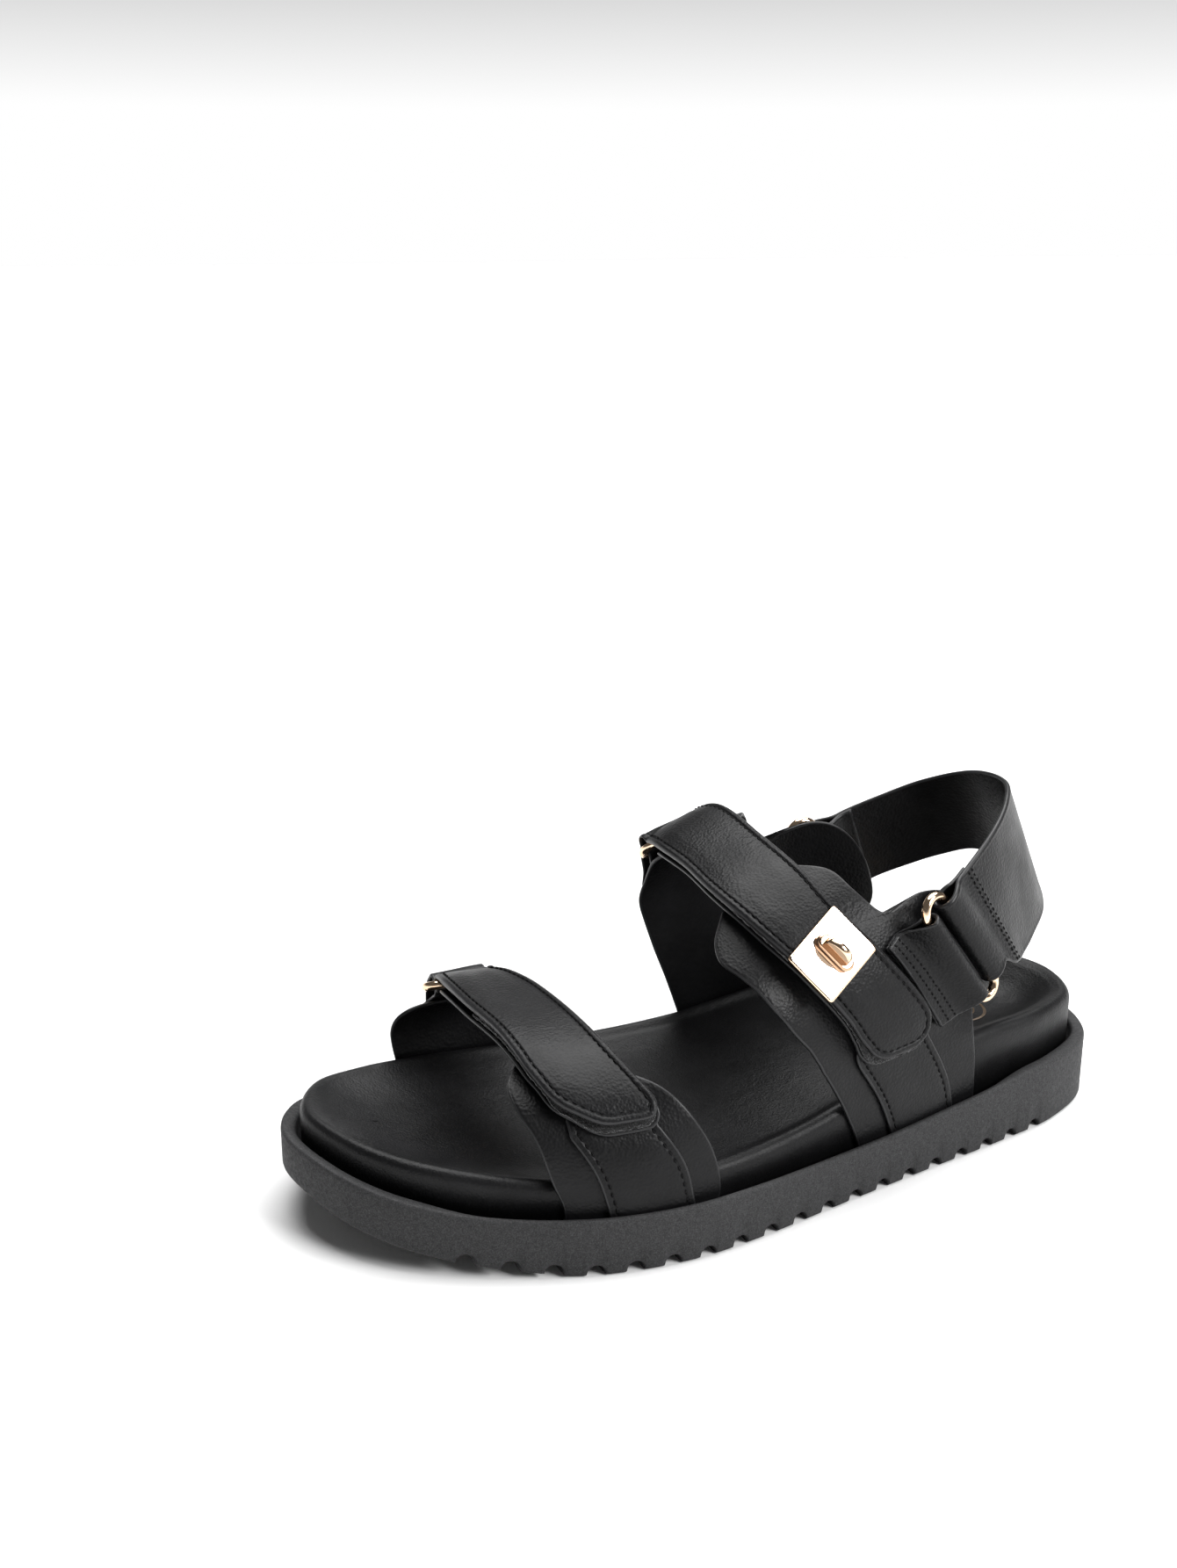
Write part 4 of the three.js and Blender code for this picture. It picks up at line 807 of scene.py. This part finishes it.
def strap_group(shape):
    name = shape["name"]
    body, moving, ring_body = "sole_body", f"{name}_flap_body", f"{name}_ring_body"
    ring = strap_ring(*shape["ring"])
    length = section_length(ring["centre"][1])
    upper, lower = (ring["u"] + s * BAR_SPACING / 2 / length for s in (-1, 1))
    bars = [ring["centre"] + ring["climb"] * s * BAR_SPACING / 2 for s in (1, -1)]
    front, rear = edge(shape["flap_front"], FLAP[1]), edge(shape["flap_rear"], FLAP[1])
    flap_from, under_from = u_near(shape["flap_end"], FLAP[1]), u_near(shape["under_end"], UNDER_STRAP[1])

    panel(shape, "lateral")
    panel(shape, "medial")

    # the flap: padded strip, then the fold round the upper bar
    u, y, strap_length = strap_grid(flap_from, upper, front, rear, shape["corners"], free_end=False)
    middle = on_foot(u, y, sum(FLAP) / 2)
    normal = foot_normal(u, y)
    to_bar = (upper - u) * strap_length
    thick = FLAP_FOLD + (FLAP[1] - FLAP[0] - FLAP_FOLD) * step(to_bar, 0, 9)
    fold, fold_normal = wrapped(middle[-1], normal[-1], bars[0], ring["bar"], 165)
    middle, normal = np.vstack([middle, fold]), np.vstack([normal, fold_normal])
    thick = np.vstack([thick, np.full(fold.shape[:2], FLAP_FOLD)])
    obj = leather(f"{name}_flap_finished", middle, normal, thick, STRAP, radius=0.95, relief=flap_relief)
    settle(obj, moving, "black_leather", f"{name}_flap")
    line, normals = inset_path(u, y, strap_length, STITCH["inset"], FLAP[1] - 0.22)
    stitch_row(f"{name}_flap_stitches", line, normals, moving)

    # under strap, overlay, pads
    u, y, _ = strap_grid(under_from, upper - 4 / length, front, rear, shape["corners"])
    middle = on_foot(u, y, sum(UNDER_STRAP) / 2)
    obj = leather(f"{name}_under_finished", middle, foot_normal(u, y), UNDER_STRAP[1] - UNDER_STRAP[0], STRAP,
                  radius=0.5)
    settle(obj, body, "black_leather", f"{name}_under_strap")
    over_front, over_rear = edge(shape["overlay_front"], OVERLAY[1]), edge(shape["overlay_rear"], OVERLAY[1])
    over_to = u_near(shape["overlay_end"], OVERLAY[1])
    rounding = (shape["overlay_corner"],) * 2
    u, y, over_length = strap_grid(0, over_to, over_front, over_rear, end_round=rounding, free_start=False)
    middle = on_foot(u, y, sum(OVERLAY) / 2)
    obj = leather(f"{name}_overlay_finished", middle, foot_normal(u, y), OVERLAY[1] - OVERLAY[0], STRAP,
                  radius=0.5, free="front rear end", relief=strip_relief)
    settle(obj, body, "black_leather", f"{name}_lateral_overlay")
    for side in ("front", "rear"):
        line, normals = inset_path(u, y, over_length, STITCH["inset"], OVERLAY[1] - 0.15, (side,))
        stitch_row(f"{name}_overlay_{side}_stitches", line, normals, body, 2.4)
    # a pad's name, layer, body, ends along the strap, and how far it stays inside the strap's edges
    loop_to = under_from + 0.62 * (upper - under_from)
    pads = (("loop_pad", LOOP_PAD, body, under_from + 0.8 / length, loop_to, 0.8),
            ("hook_pad", HOOK_PAD, moving, flap_from + 1.4 / length, flap_from + 45 / length, 1.0))
    for pad, layer, pad_body, start, end, inside in pads:
        fuzzy_pad(f"{name}_{pad}", start, end, front, rear, layer, inside, pad_body)

    # the loop from the sole, round the lower bar and back down over itself
    loop_front, loop_rear = edge(shape["loop_front"], OVERLAY[1]), edge(shape["loop_rear"], OVERLAY[1])
    medial_loop(name, ring, lower, bars[1], loop_front, loop_rear, length)

    obj = oval_ring(f"{name}_ring_finished", ring, BAR_SPACING, ring["length"] - 4 * RING_WIRE)
    settle(obj, ring_body, "pale_gold", f"{name}_ring")


def fuzzy_pad(node, start, end, front, rear, layer, inside, body):
    """A hook or loop tape: a thin pad with a rough, tufted face."""
    random = np.random.default_rng(7)
    u, y, _ = strap_grid(start, end, lambda v: front(v) + inside, lambda v: rear(v) - inside, (9, 5))
    middle = on_foot(u, y, sum(layer) / 2) + random.normal(0, 0.09, (*u.shape, 3))
    obj = leather(f"{node}_tape", middle, foot_normal(u, y), layer[1] - layer[0], [TAPE, TAPE], radius=0.3)
    return settle(obj, body, "hook_and_loop", node)


def medial_loop(name, ring, lower, bar, front, rear, length):
    size = (1 - lower) * length
    along = spread(size, int(size / 1.5), low=False, high=False)
    u = 1 - along / length
    y0, y1 = front(u), rear(u)
    narrow = (ring["length"] - 4 * RING_WIRE - LOOP_PLAY) / 2
    middle_y = ring["centre"][1]
    near = step(u * length, lower * length + 9, lower * length + 1)
    y0 = y0 * (1 - near) + np.maximum(y0, middle_y - narrow * 0.985) * near
    y1 = y1 * (1 - near) + np.minimum(y1, middle_y + narrow * 0.985) * near
    ys = np.array([a + spread(b - a, 12) for a, b in zip(y0, y1)])
    us = np.repeat(u[:, None], ys.shape[1], axis=1)
    middle, normal = on_foot(us, ys, sum(OVERLAY) / 2), foot_normal(us, ys)
    fold, fold_normal = wrapped(middle[-1], normal[-1], bar, ring["bar"], 180)
    tail_along = spread(FOLD_LENGTH, 8, low=False)
    tail_u = lower + tail_along[1:] / length
    top = 2 * BAR_OFFSET - 2.1
    tail_offset = LOOP_TAIL + (top - LOOP_TAIL) * (1 - step(tail_along[1:], 0, 7.5))
    tail_y = np.repeat(ys[-1][None], len(tail_u), axis=0)
    tail_us = np.repeat(tail_u[:, None], ys.shape[1], axis=1)
    tail = on_foot(tail_us, tail_y, np.repeat(tail_offset[:, None], ys.shape[1], axis=1))
    tail_normal = foot_normal(tail_us, tail_y)
    parts = np.vstack([middle, fold, tail])
    # the strip turns over on itself, so the tail's outer face is its inner one carried round
    normals = np.vstack([-normal, -fold_normal, tail_normal])
    obj = leather(f"{name}_loop_finished", parts, normals, 1.0, STRAP, radius=0.45, free="front rear end")
    settle(obj, "sole_body", "black_leather", f"{name}_medial_loop")
    row_u = np.full(60, lower + (FOLD_LENGTH - 2.2) / length)
    row_y = np.linspace(ys[-1][0] + 2, ys[-1][-1] - 2, 60)
    line = on_foot(row_u, row_y, 3.9)
    stitch_row(f"{name}_loop_stitches", line, foot_normal(row_u, row_y), "sole_body", 2.4)


# ---------------------------------------------------------------- hardware
def oval_ring(name, ring, spacing, inner_length, wire=RING_WIRE):
    """A round wire bent into an oval of two straight bars."""
    radius = spacing / 2
    half = inner_length / 2 - radius + wire
    around, sides_of_wire = 96, 20
    angles = np.linspace(0, 2 * np.pi, around, endpoint=False)
    points = []
    for a in angles:
        shift = half * (1 if np.cos(a) > 1e-9 else -1)
        for b in np.linspace(0, 2 * np.pi, sides_of_wire, endpoint=False):
            r = radius + wire * np.cos(b)
            x, y, z = r * np.cos(a) + shift, r * np.sin(a), wire * np.sin(b)
            points.append(ring["centre"] + ring["bar"] * x + ring["climb"] * y + ring["out"] * z)
    faces = grid_faces(around, sides_of_wire, wrap=True)
    last = (around - 1) * sides_of_wire
    for j in range(sides_of_wire):
        k = (j + 1) % sides_of_wire
        faces.append((last + j, last + k, k, j))
    return mesh_object(name, np.array(points), faces, [GOLD])


HEEL_SIDES = {
    "lateral": {"top": (42, 45, 86.2), "bottom": (43.5, 70.3, 51.2), "leaves": (-3.5, 12.5, 4.2),
                "tab": {"tf": (33.5, 73), "bf": (51, 45), "tr": (42, 81), "br": (66, 50)}},
    "medial": {"top": (-37, 52.8, 84.5), "bottom": (-40.2, 66.8, 46.5), "leaves": (2, 12.5, 4.5),
               "tab": {"tf": (32, 69), "bf": (43.5, 41), "tr": (48.5, 80), "br": (61.5, 46.5)}},
}
HEEL_TOP = [(38, 58.5, 88.5), (28.5, 78.5, 97.8), (19, 90.4, 102.3), (8, 98.5, 104.2), (-8, 99.5, 102.6),
            (-23, 91.5, 96.5), (-31, 81, 90.5), (-36, 69, 85)]
HEEL_BOTTOM = [(39.8, 81, 58), (33, 90, 57.5), (25, 100, 58.5), (16, 111, 62), (4, 117.5, 66),
               (-7, 117, 68.5), (-18, 111.5, 71), (-26.5, 103.5, 67.5), (-33, 94, 63), (-37, 84.2, 59)]
HEEL_SLEEVE = 3.6  # outer radius of the leather folded round a heel ring's bar
HEEL_THICKNESS = 1.5
HEEL_WIDTH = 34.0  # the heel strap's width, for the spacing of its points
STITCHES_FROM_RING = 12.5  # along the heel strap, to the first of its two rows
TAB_THICKNESS = 1.4
TAB_MIDDLE = 2.4  # height of a tab off the foot's surface
TAB_LAYERS = (1.7, 3.2)  # heights of its two layers, under and over that
TAB_LENGTH = 11.5  # from its front edge to the bar
HEEL_END_CLEARANCE = 4.5


def heel_ring(side):
    a, b = (np.array(HEEL_SIDES[side][k], float) for k in ("top", "bottom"))
    towards = np.array(HEEL_SIDES[side]["leaves"], float)
    made = ring_frame((a + b) / 2, b - a, unit(np.cross(b - a, towards)), towards)
    inner = float(np.linalg.norm(b - a)) - 4 * RING_WIRE
    return {**made, "inner": inner, "sleeve": inner - HEEL_END_CLEARANCE}


HEEL_RINGS = {side: heel_ring(side) for side in HEEL_SIDES}


def outward_of(side):
    """+1 where a heel ring's `out` points away from the foot."""
    return 1.0 if HEEL_RINGS[side]["out"][0] * (1 if side == "lateral" else -1) > 0 else -1.0


def ring_tab(side):
    """The tab on a quarter, folded round the front bar of its heel ring and stitched down on itself."""
    ring, tab = HEEL_RINGS[side], HEEL_SIDES[side]["tab"]
    sign = outward_of(side)
    bar = ring["centre"] - ring["climb"] * HEEL_BAR_SPACING / 2
    bottom_front, top_front, bottom_rear, top_rear = (np.array(tab[k]) for k in ("bf", "tf", "br", "tr"))
    columns = spread(30.0, 22) / 30.0
    along = spread(14.0, 16, high=False)[:, None] / 14.0
    lines = []
    for t in columns:
        front = bottom_front * (1 - t) + top_front * t
        rear = bottom_rear * (1 - t) + top_rear * t
        yz = front * (1 - along) + rear * along
        us = [u_near((ring["centre"][0], *p), TAB_MIDDLE) for p in yz]
        lines.append(np.stack([us, yz[:, 0]], axis=1))
    u, y = np.array(lines).transpose(2, 1, 0)
    normal = foot_normal(u, y)
    ends = [bar + ring["bar"] * s * ring["sleeve"] / 2 for s in (-1, 1)]
    if ends[0][2] > ends[1][2]:
        ends = ends[::-1]
    on_bar = ends[0] + (ends[1] - ends[0]) * columns[:, None]
    out = ring["out"] * sign
    reach = HEEL_SLEEVE - TAB_THICKNESS / 2
    rise = step(along, 0.45, 1)[..., None]
    before_bar = on_bar - ring["climb"] * (TAB_LENGTH * (1 - along))[..., None]
    top = on_foot(u, y, TAB_LAYERS[1]) * (1 - rise) + (before_bar + out * reach) * rise
    under = on_foot(u, y, TAB_LAYERS[0]) * (1 - rise) + (before_bar - out * reach) * rise
    normal = unit(normal * (1 - rise) + out * rise)
    spin = ring["bar"] * (1 if np.dot(np.cross(ring["bar"], out), ring["climb"]) > 0 else -1)
    fold, fold_normal = wrapped(top[-1], normal[-1], bar, spin, 180, 12)
    middle = np.vstack([top, fold[:-1], under[::-1]])
    normals = np.vstack([normal, fold_normal[:-1], -normal[::-1]])
    obj = leather(f"{side}_tab_finished", middle, normals, TAB_THICKNESS, STRAP, radius=0.6)
    settle(obj, "sole_body", "black_leather", f"{side}_ring_tab")
    for k, share in enumerate((0.22, 0.41)):
        row = int(np.abs(along[:, 0] - share).argmin())
        line = top[row][4:-4] + normal[row][4:-4] * (TAB_THICKNESS / 2 - 0.1)
        stitch_row(f"{side}_tab_stitches_{k}", line, normal[row][4:-4], "sole_body", 1.8, zigzag=0.3)


def heel_strap():
    """One smooth strap round the heel, folded round the rear bar of each ring and stitched inside."""
    def leave(side, end, along):
        ring = HEEL_RINGS[side]
        towards = math.copysign(1, ring["bar"][2]) * end * ring["sleeve"] / 2
        return ring["centre"] + ring["bar"] * towards + ring["climb"] * (HEEL_BAR_SPACING / 2 + along)

    def edge_line(points, end):
        return through([leave("lateral", end, 0), leave("lateral", end, HEEL_SLEEVE + 1.5), *points,
                        leave("medial", end, HEEL_SLEEVE + 1.5), leave("medial", end, 0)], 241)
    top, bottom = edge_line(HEEL_TOP, 1), edge_line(HEEL_BOTTOM, -1)
    share = (spread(HEEL_WIDTH, 26) / HEEL_WIDTH)[None, :, None]
    middle = top[:, None] * (1 - share) + bottom[:, None] * share
    across = bottom - top
    ahead = np.gradient(middle, axis=0)
    normal = unit(np.cross(np.repeat(across[:, None], middle.shape[1], axis=1), ahead))
    s = running_length((top + bottom) / 2)
    to_end = np.minimum(s, s[-1] - s)
    near_ring = 1 - step(to_end, 1, 10)
    outer = middle + normal * (0.1 + 2.8 * near_ring)[:, None, None]
    start, end = HEEL_RINGS["lateral"], HEEL_RINGS["medial"]
    caps = []
    for ring, row, out in ((start, outer[0], normal[0]), (end, outer[-1], normal[-1])):
        bar = ring["centre"] + ring["climb"] * HEEL_BAR_SPACING / 2
        spin = ring["bar"] * (1 if np.dot(np.cross(ring["bar"], out.mean(0)), -ring["climb"]) > 0 else -1)
        caps.append(wrapped(row, out, bar, spin, 175, 12))
    inner_rows = 26  # rows of strap turned back inside at each end
    inside = middle - normal * (0.9 + 2.0 * near_ring)[:, None, None]
    lateral_tail, medial_tail = inside[1:inner_rows], inside[-inner_rows:-1]
    grid = np.vstack([lateral_tail[::-1], caps[0][0][::-1], outer, caps[1][0], medial_tail[::-1]])
    normals = np.vstack([-normal[1:inner_rows][::-1], caps[0][1][::-1], normal, caps[1][1],
                         -normal[-inner_rows:-1][::-1]])
    obj = leather("heel_strap_finished", grid, normals, HEEL_THICKNESS, STRAP, radius=0.7,
                  relief=lambda d: 0.12 * ridge(d, 1.0, 0.5))
    settle(obj, "heel_strap_body", "black_leather", "heel_strap")
    lateral_row = int(np.argmax(s > STITCHES_FROM_RING))
    medial_row = int(np.argmax(s > s[-1] - STITCHES_FROM_RING))
    for label, row, inwards in (("lateral", lateral_row, 1), ("medial", medial_row, -1)):
        for k in (0, 1):
            at = row + inwards * 3 * k
            line = outer[at][5:-5] + normal[at][5:-5] * (HEEL_THICKNESS / 2)
            stitch_row(f"heel_strap_{label}_stitches_{k}", line, normal[at][5:-5], "heel_strap_body", 1.9,
                       zigzag=0.35)


PLATE = {"width": 17.5, "height": 22.5, "thickness": 1.6, "bevel": 0.5, "sink": 0.5, "corner": 1.2}
KNOB = {"length": 13, "width": 4.6, "corner": 2.25}
LOCK_AT = (43.1, 12.4, 75.5)
LOCK_ALONG = (0.41, 0.54, -0.73)


def lock_frame():
    u = u_near(LOCK_AT, FLAP[1])
    out = foot_normal(u, LOCK_AT[1])
    x = unit(np.array(LOCK_ALONG) - out * (np.array(LOCK_ALONG) @ out))
    return on_foot(u, LOCK_AT[1], FLAP[1] - PLATE["sink"]), x, np.cross(out, x), out


def rounded_rect(width, height, radius, steps=8):
    points = []
    for cx, cy, start in ((1, 1, 0), (-1, 1, 90), (-1, -1, 180), (1, -1, 270)):
        for k in range(steps + 1):
            a = math.radians(start + 90 * k / steps)
            points.append((cx * (width / 2 - radius) + radius * math.cos(a),
                           cy * (height / 2 - radius) + radius * math.sin(a)))
    return np.array(points)


def local(points, place_frame):
    origin, x, y, z = place_frame
    return origin + points[:, :1] * x + points[:, 1:2] * y + points[:, 2:3] * z


def stacked(name, outlines, place_frame, materials, slot_of):
    """A closed solid through outlines given as (points, height)."""
    n = len(outlines[0][0])
    points = np.vstack([np.column_stack([o, np.full(n, h)]) for o, h in outlines])
    faces = grid_faces(len(outlines), n, wrap=True)
    slots = [slot_of(i) for i in range(len(outlines) - 1) for _ in range(n)]
    faces += [tuple(range(n))[::-1], tuple(range((len(outlines) - 1) * n, len(outlines) * n))]
    slots += [0, slot_of(len(outlines) - 1)]
    obj = mesh_object(name, local(points, place_frame), faces, materials, slots)
    obj.data.polygons[-1].use_smooth = False
    return obj


def turn_lock():
    lock = lock_frame()
    w, h, t, b = PLATE["width"], PLATE["height"], PLATE["thickness"], PLATE["bevel"]
    layers = []
    steps = ((0.3, 0), (0, 0.25), (0, t - b), (0.08, t - 0.28), (0.28, t - 0.08), (0.5, t), (0.9, t))
    for inset, height in steps:
        layers.append((rounded_rect(w - 2 * inset, h - 2 * inset, PLATE["corner"]), height))
    obj = stacked("turnlock_plate_finished", layers, lock, [GOLD, MIRROR], lambda i: int(i >= 5))
    settle(obj, "instep_flap_body", "pale_gold", "turnlock_plate")

    base_z = t + 0.3
    capsule = rounded_rect(KNOB["length"], KNOB["width"], KNOB["corner"])
    scales = ((0.94, 0), (1, 0.25), (1, 1.3), (0.95, 1.7), (0.85, 1.8))
    layers = [(capsule * scale, base_z + height) for scale, height in scales]
    foot = stacked("turnlock_foot", layers, lock, [COPPER], lambda i: 0)
    settle(foot, "turnlock_body", "pale_gold", "turnlock_knob")
    origin, x, y, z = lock
    fin_frame = (origin + z * (base_z + 1.4), x, z, -y)
    arc = np.linspace(0, np.pi, 33)
    moon = np.column_stack([4.5 * np.cos(arc), 5.0 * np.sin(arc) ** 0.8])
    moon = np.vstack([moon, [[-4.5, -0.4], [4.5, -0.4]]])
    layers = [(moon * 0.93, -1.2), (moon, -0.95), (moon, 0.95), (moon * 0.93, 1.2)]
    fin = stacked("turnlock_fin", layers, fin_frame, [GOLD], lambda i: 0)
    settle(fin, "turnlock_body", "pale_gold")


# ---------------------------------------------------------------- inner CAD pieces keep their shape
def dress(node, surface):
    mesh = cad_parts[node].data
    mesh.materials.clear()
    mesh.materials.append(surface)


# ---------------------------------------------------------------- stage
def softbox(where, target, size, energy):
    """A square panel whose reflection lies on the outer side of the instep strap and on its plate."""
    light = bpy.data.lights.new("softbox", "AREA")
    light.size = size
    light.energy = energy
    obj = add_object("softbox", light)
    obj.location = where
    obj.rotation_euler = (Vector(target) - Vector(where)).to_track_quat("-Z", "Y").to_euler()


def studio_world():
    """White round the horizon and below it, so the floor has no edge, and a darker room overhead."""
    world = bpy.data.worlds.new("studio")
    bpy.context.scene.world = world
    world.use_nodes = True
    nodes, links = world.node_tree.nodes, world.node_tree.links
    coords = nodes.new("ShaderNodeTexCoord")
    split = nodes.new("ShaderNodeSeparateXYZ")
    links.new(coords.outputs["Generated"], split.inputs["Vector"])
    shade = ramp(nodes, links, split.outputs["Z"], 1.0, 0.1, 0.06, 0.22)
    links.new(shade, nodes["Background"].inputs["Color"])
    nodes["Background"].inputs["Strength"].default_value = 1.0


def stage():
    made, nodes, links, shader = material("studio_floor")
    grain = texture(nodes, links, "ShaderNodeTexNoise", 3.0)
    links.new(ramp(nodes, links, grain.outputs["Fac"], 0.84, 0.86), shader.inputs["Base Color"])
    shader.inputs["Roughness"].default_value = 0.9
    shader.inputs["Specular IOR Level"].default_value = 0.1
    mesh = bpy.data.meshes.new("studio_floor")
    reach = 12
    mesh.from_pydata([(-reach, -reach, 0), (reach, -reach, 0), (reach, reach, 0), (-reach, reach, 0)], [],
                     [(0, 1, 2, 3)])
    mesh.materials.append(made)
    floor = add_object("studio_floor", mesh)
    studio_world()
    lamp = bpy.data.lights.new("overhead", "SUN")
    lamp.energy = 4.8
    lamp.angle = math.radians(60)
    sun = add_object("overhead", lamp)
    sun.rotation_euler = (math.radians(-14), math.radians(-16), 0)
    softbox((1.39, 0.91, 1.2), (0.04, 0.012, 0.075), 0.9, 45)
    bpy.context.scene.view_settings.view_transform = "Standard"


def camera():
    azimuth, elevation, lens = math.radians(63.5), math.radians(17.8), 40
    back = Vector((math.sin(azimuth) * math.cos(elevation), -math.cos(azimuth) * math.cos(elevation),
                   math.sin(elevation)))
    data = bpy.data.cameras.new("photo_camera")
    data.lens = lens
    data.clip_start, data.clip_end = 0.01, 50
    obj = add_object("photo_camera", data)
    obj.location = (0.4106, -0.2481, 0.2690)
    obj.rotation_mode = "QUATERNION"
    obj.rotation_quaternion = (-back).to_track_quat("-Z", "Y")
    bpy.context.scene.camera = obj


camera()
outsole()
heel_mark(footbed())
strap_group(FOREFOOT)
strap_group(INSTEP)
for side, ring in HEEL_RINGS.items():
    ring_tab(side)
    obj = oval_ring(f"heel_ring_{side}_finished", ring, HEEL_BAR_SPACING, ring["inner"])
    settle(obj, "heel_strap_body", "pale_gold", f"heel_ring_{side}")
heel_strap()
turn_lock()
INNER_PIECES = {"midsole_core": EVA, "insole_board": BOARD, "shank": STEEL, "turnlock_washer": STEEL}
for node, surface in INNER_PIECES.items():
    dress(node, surface)
stage()
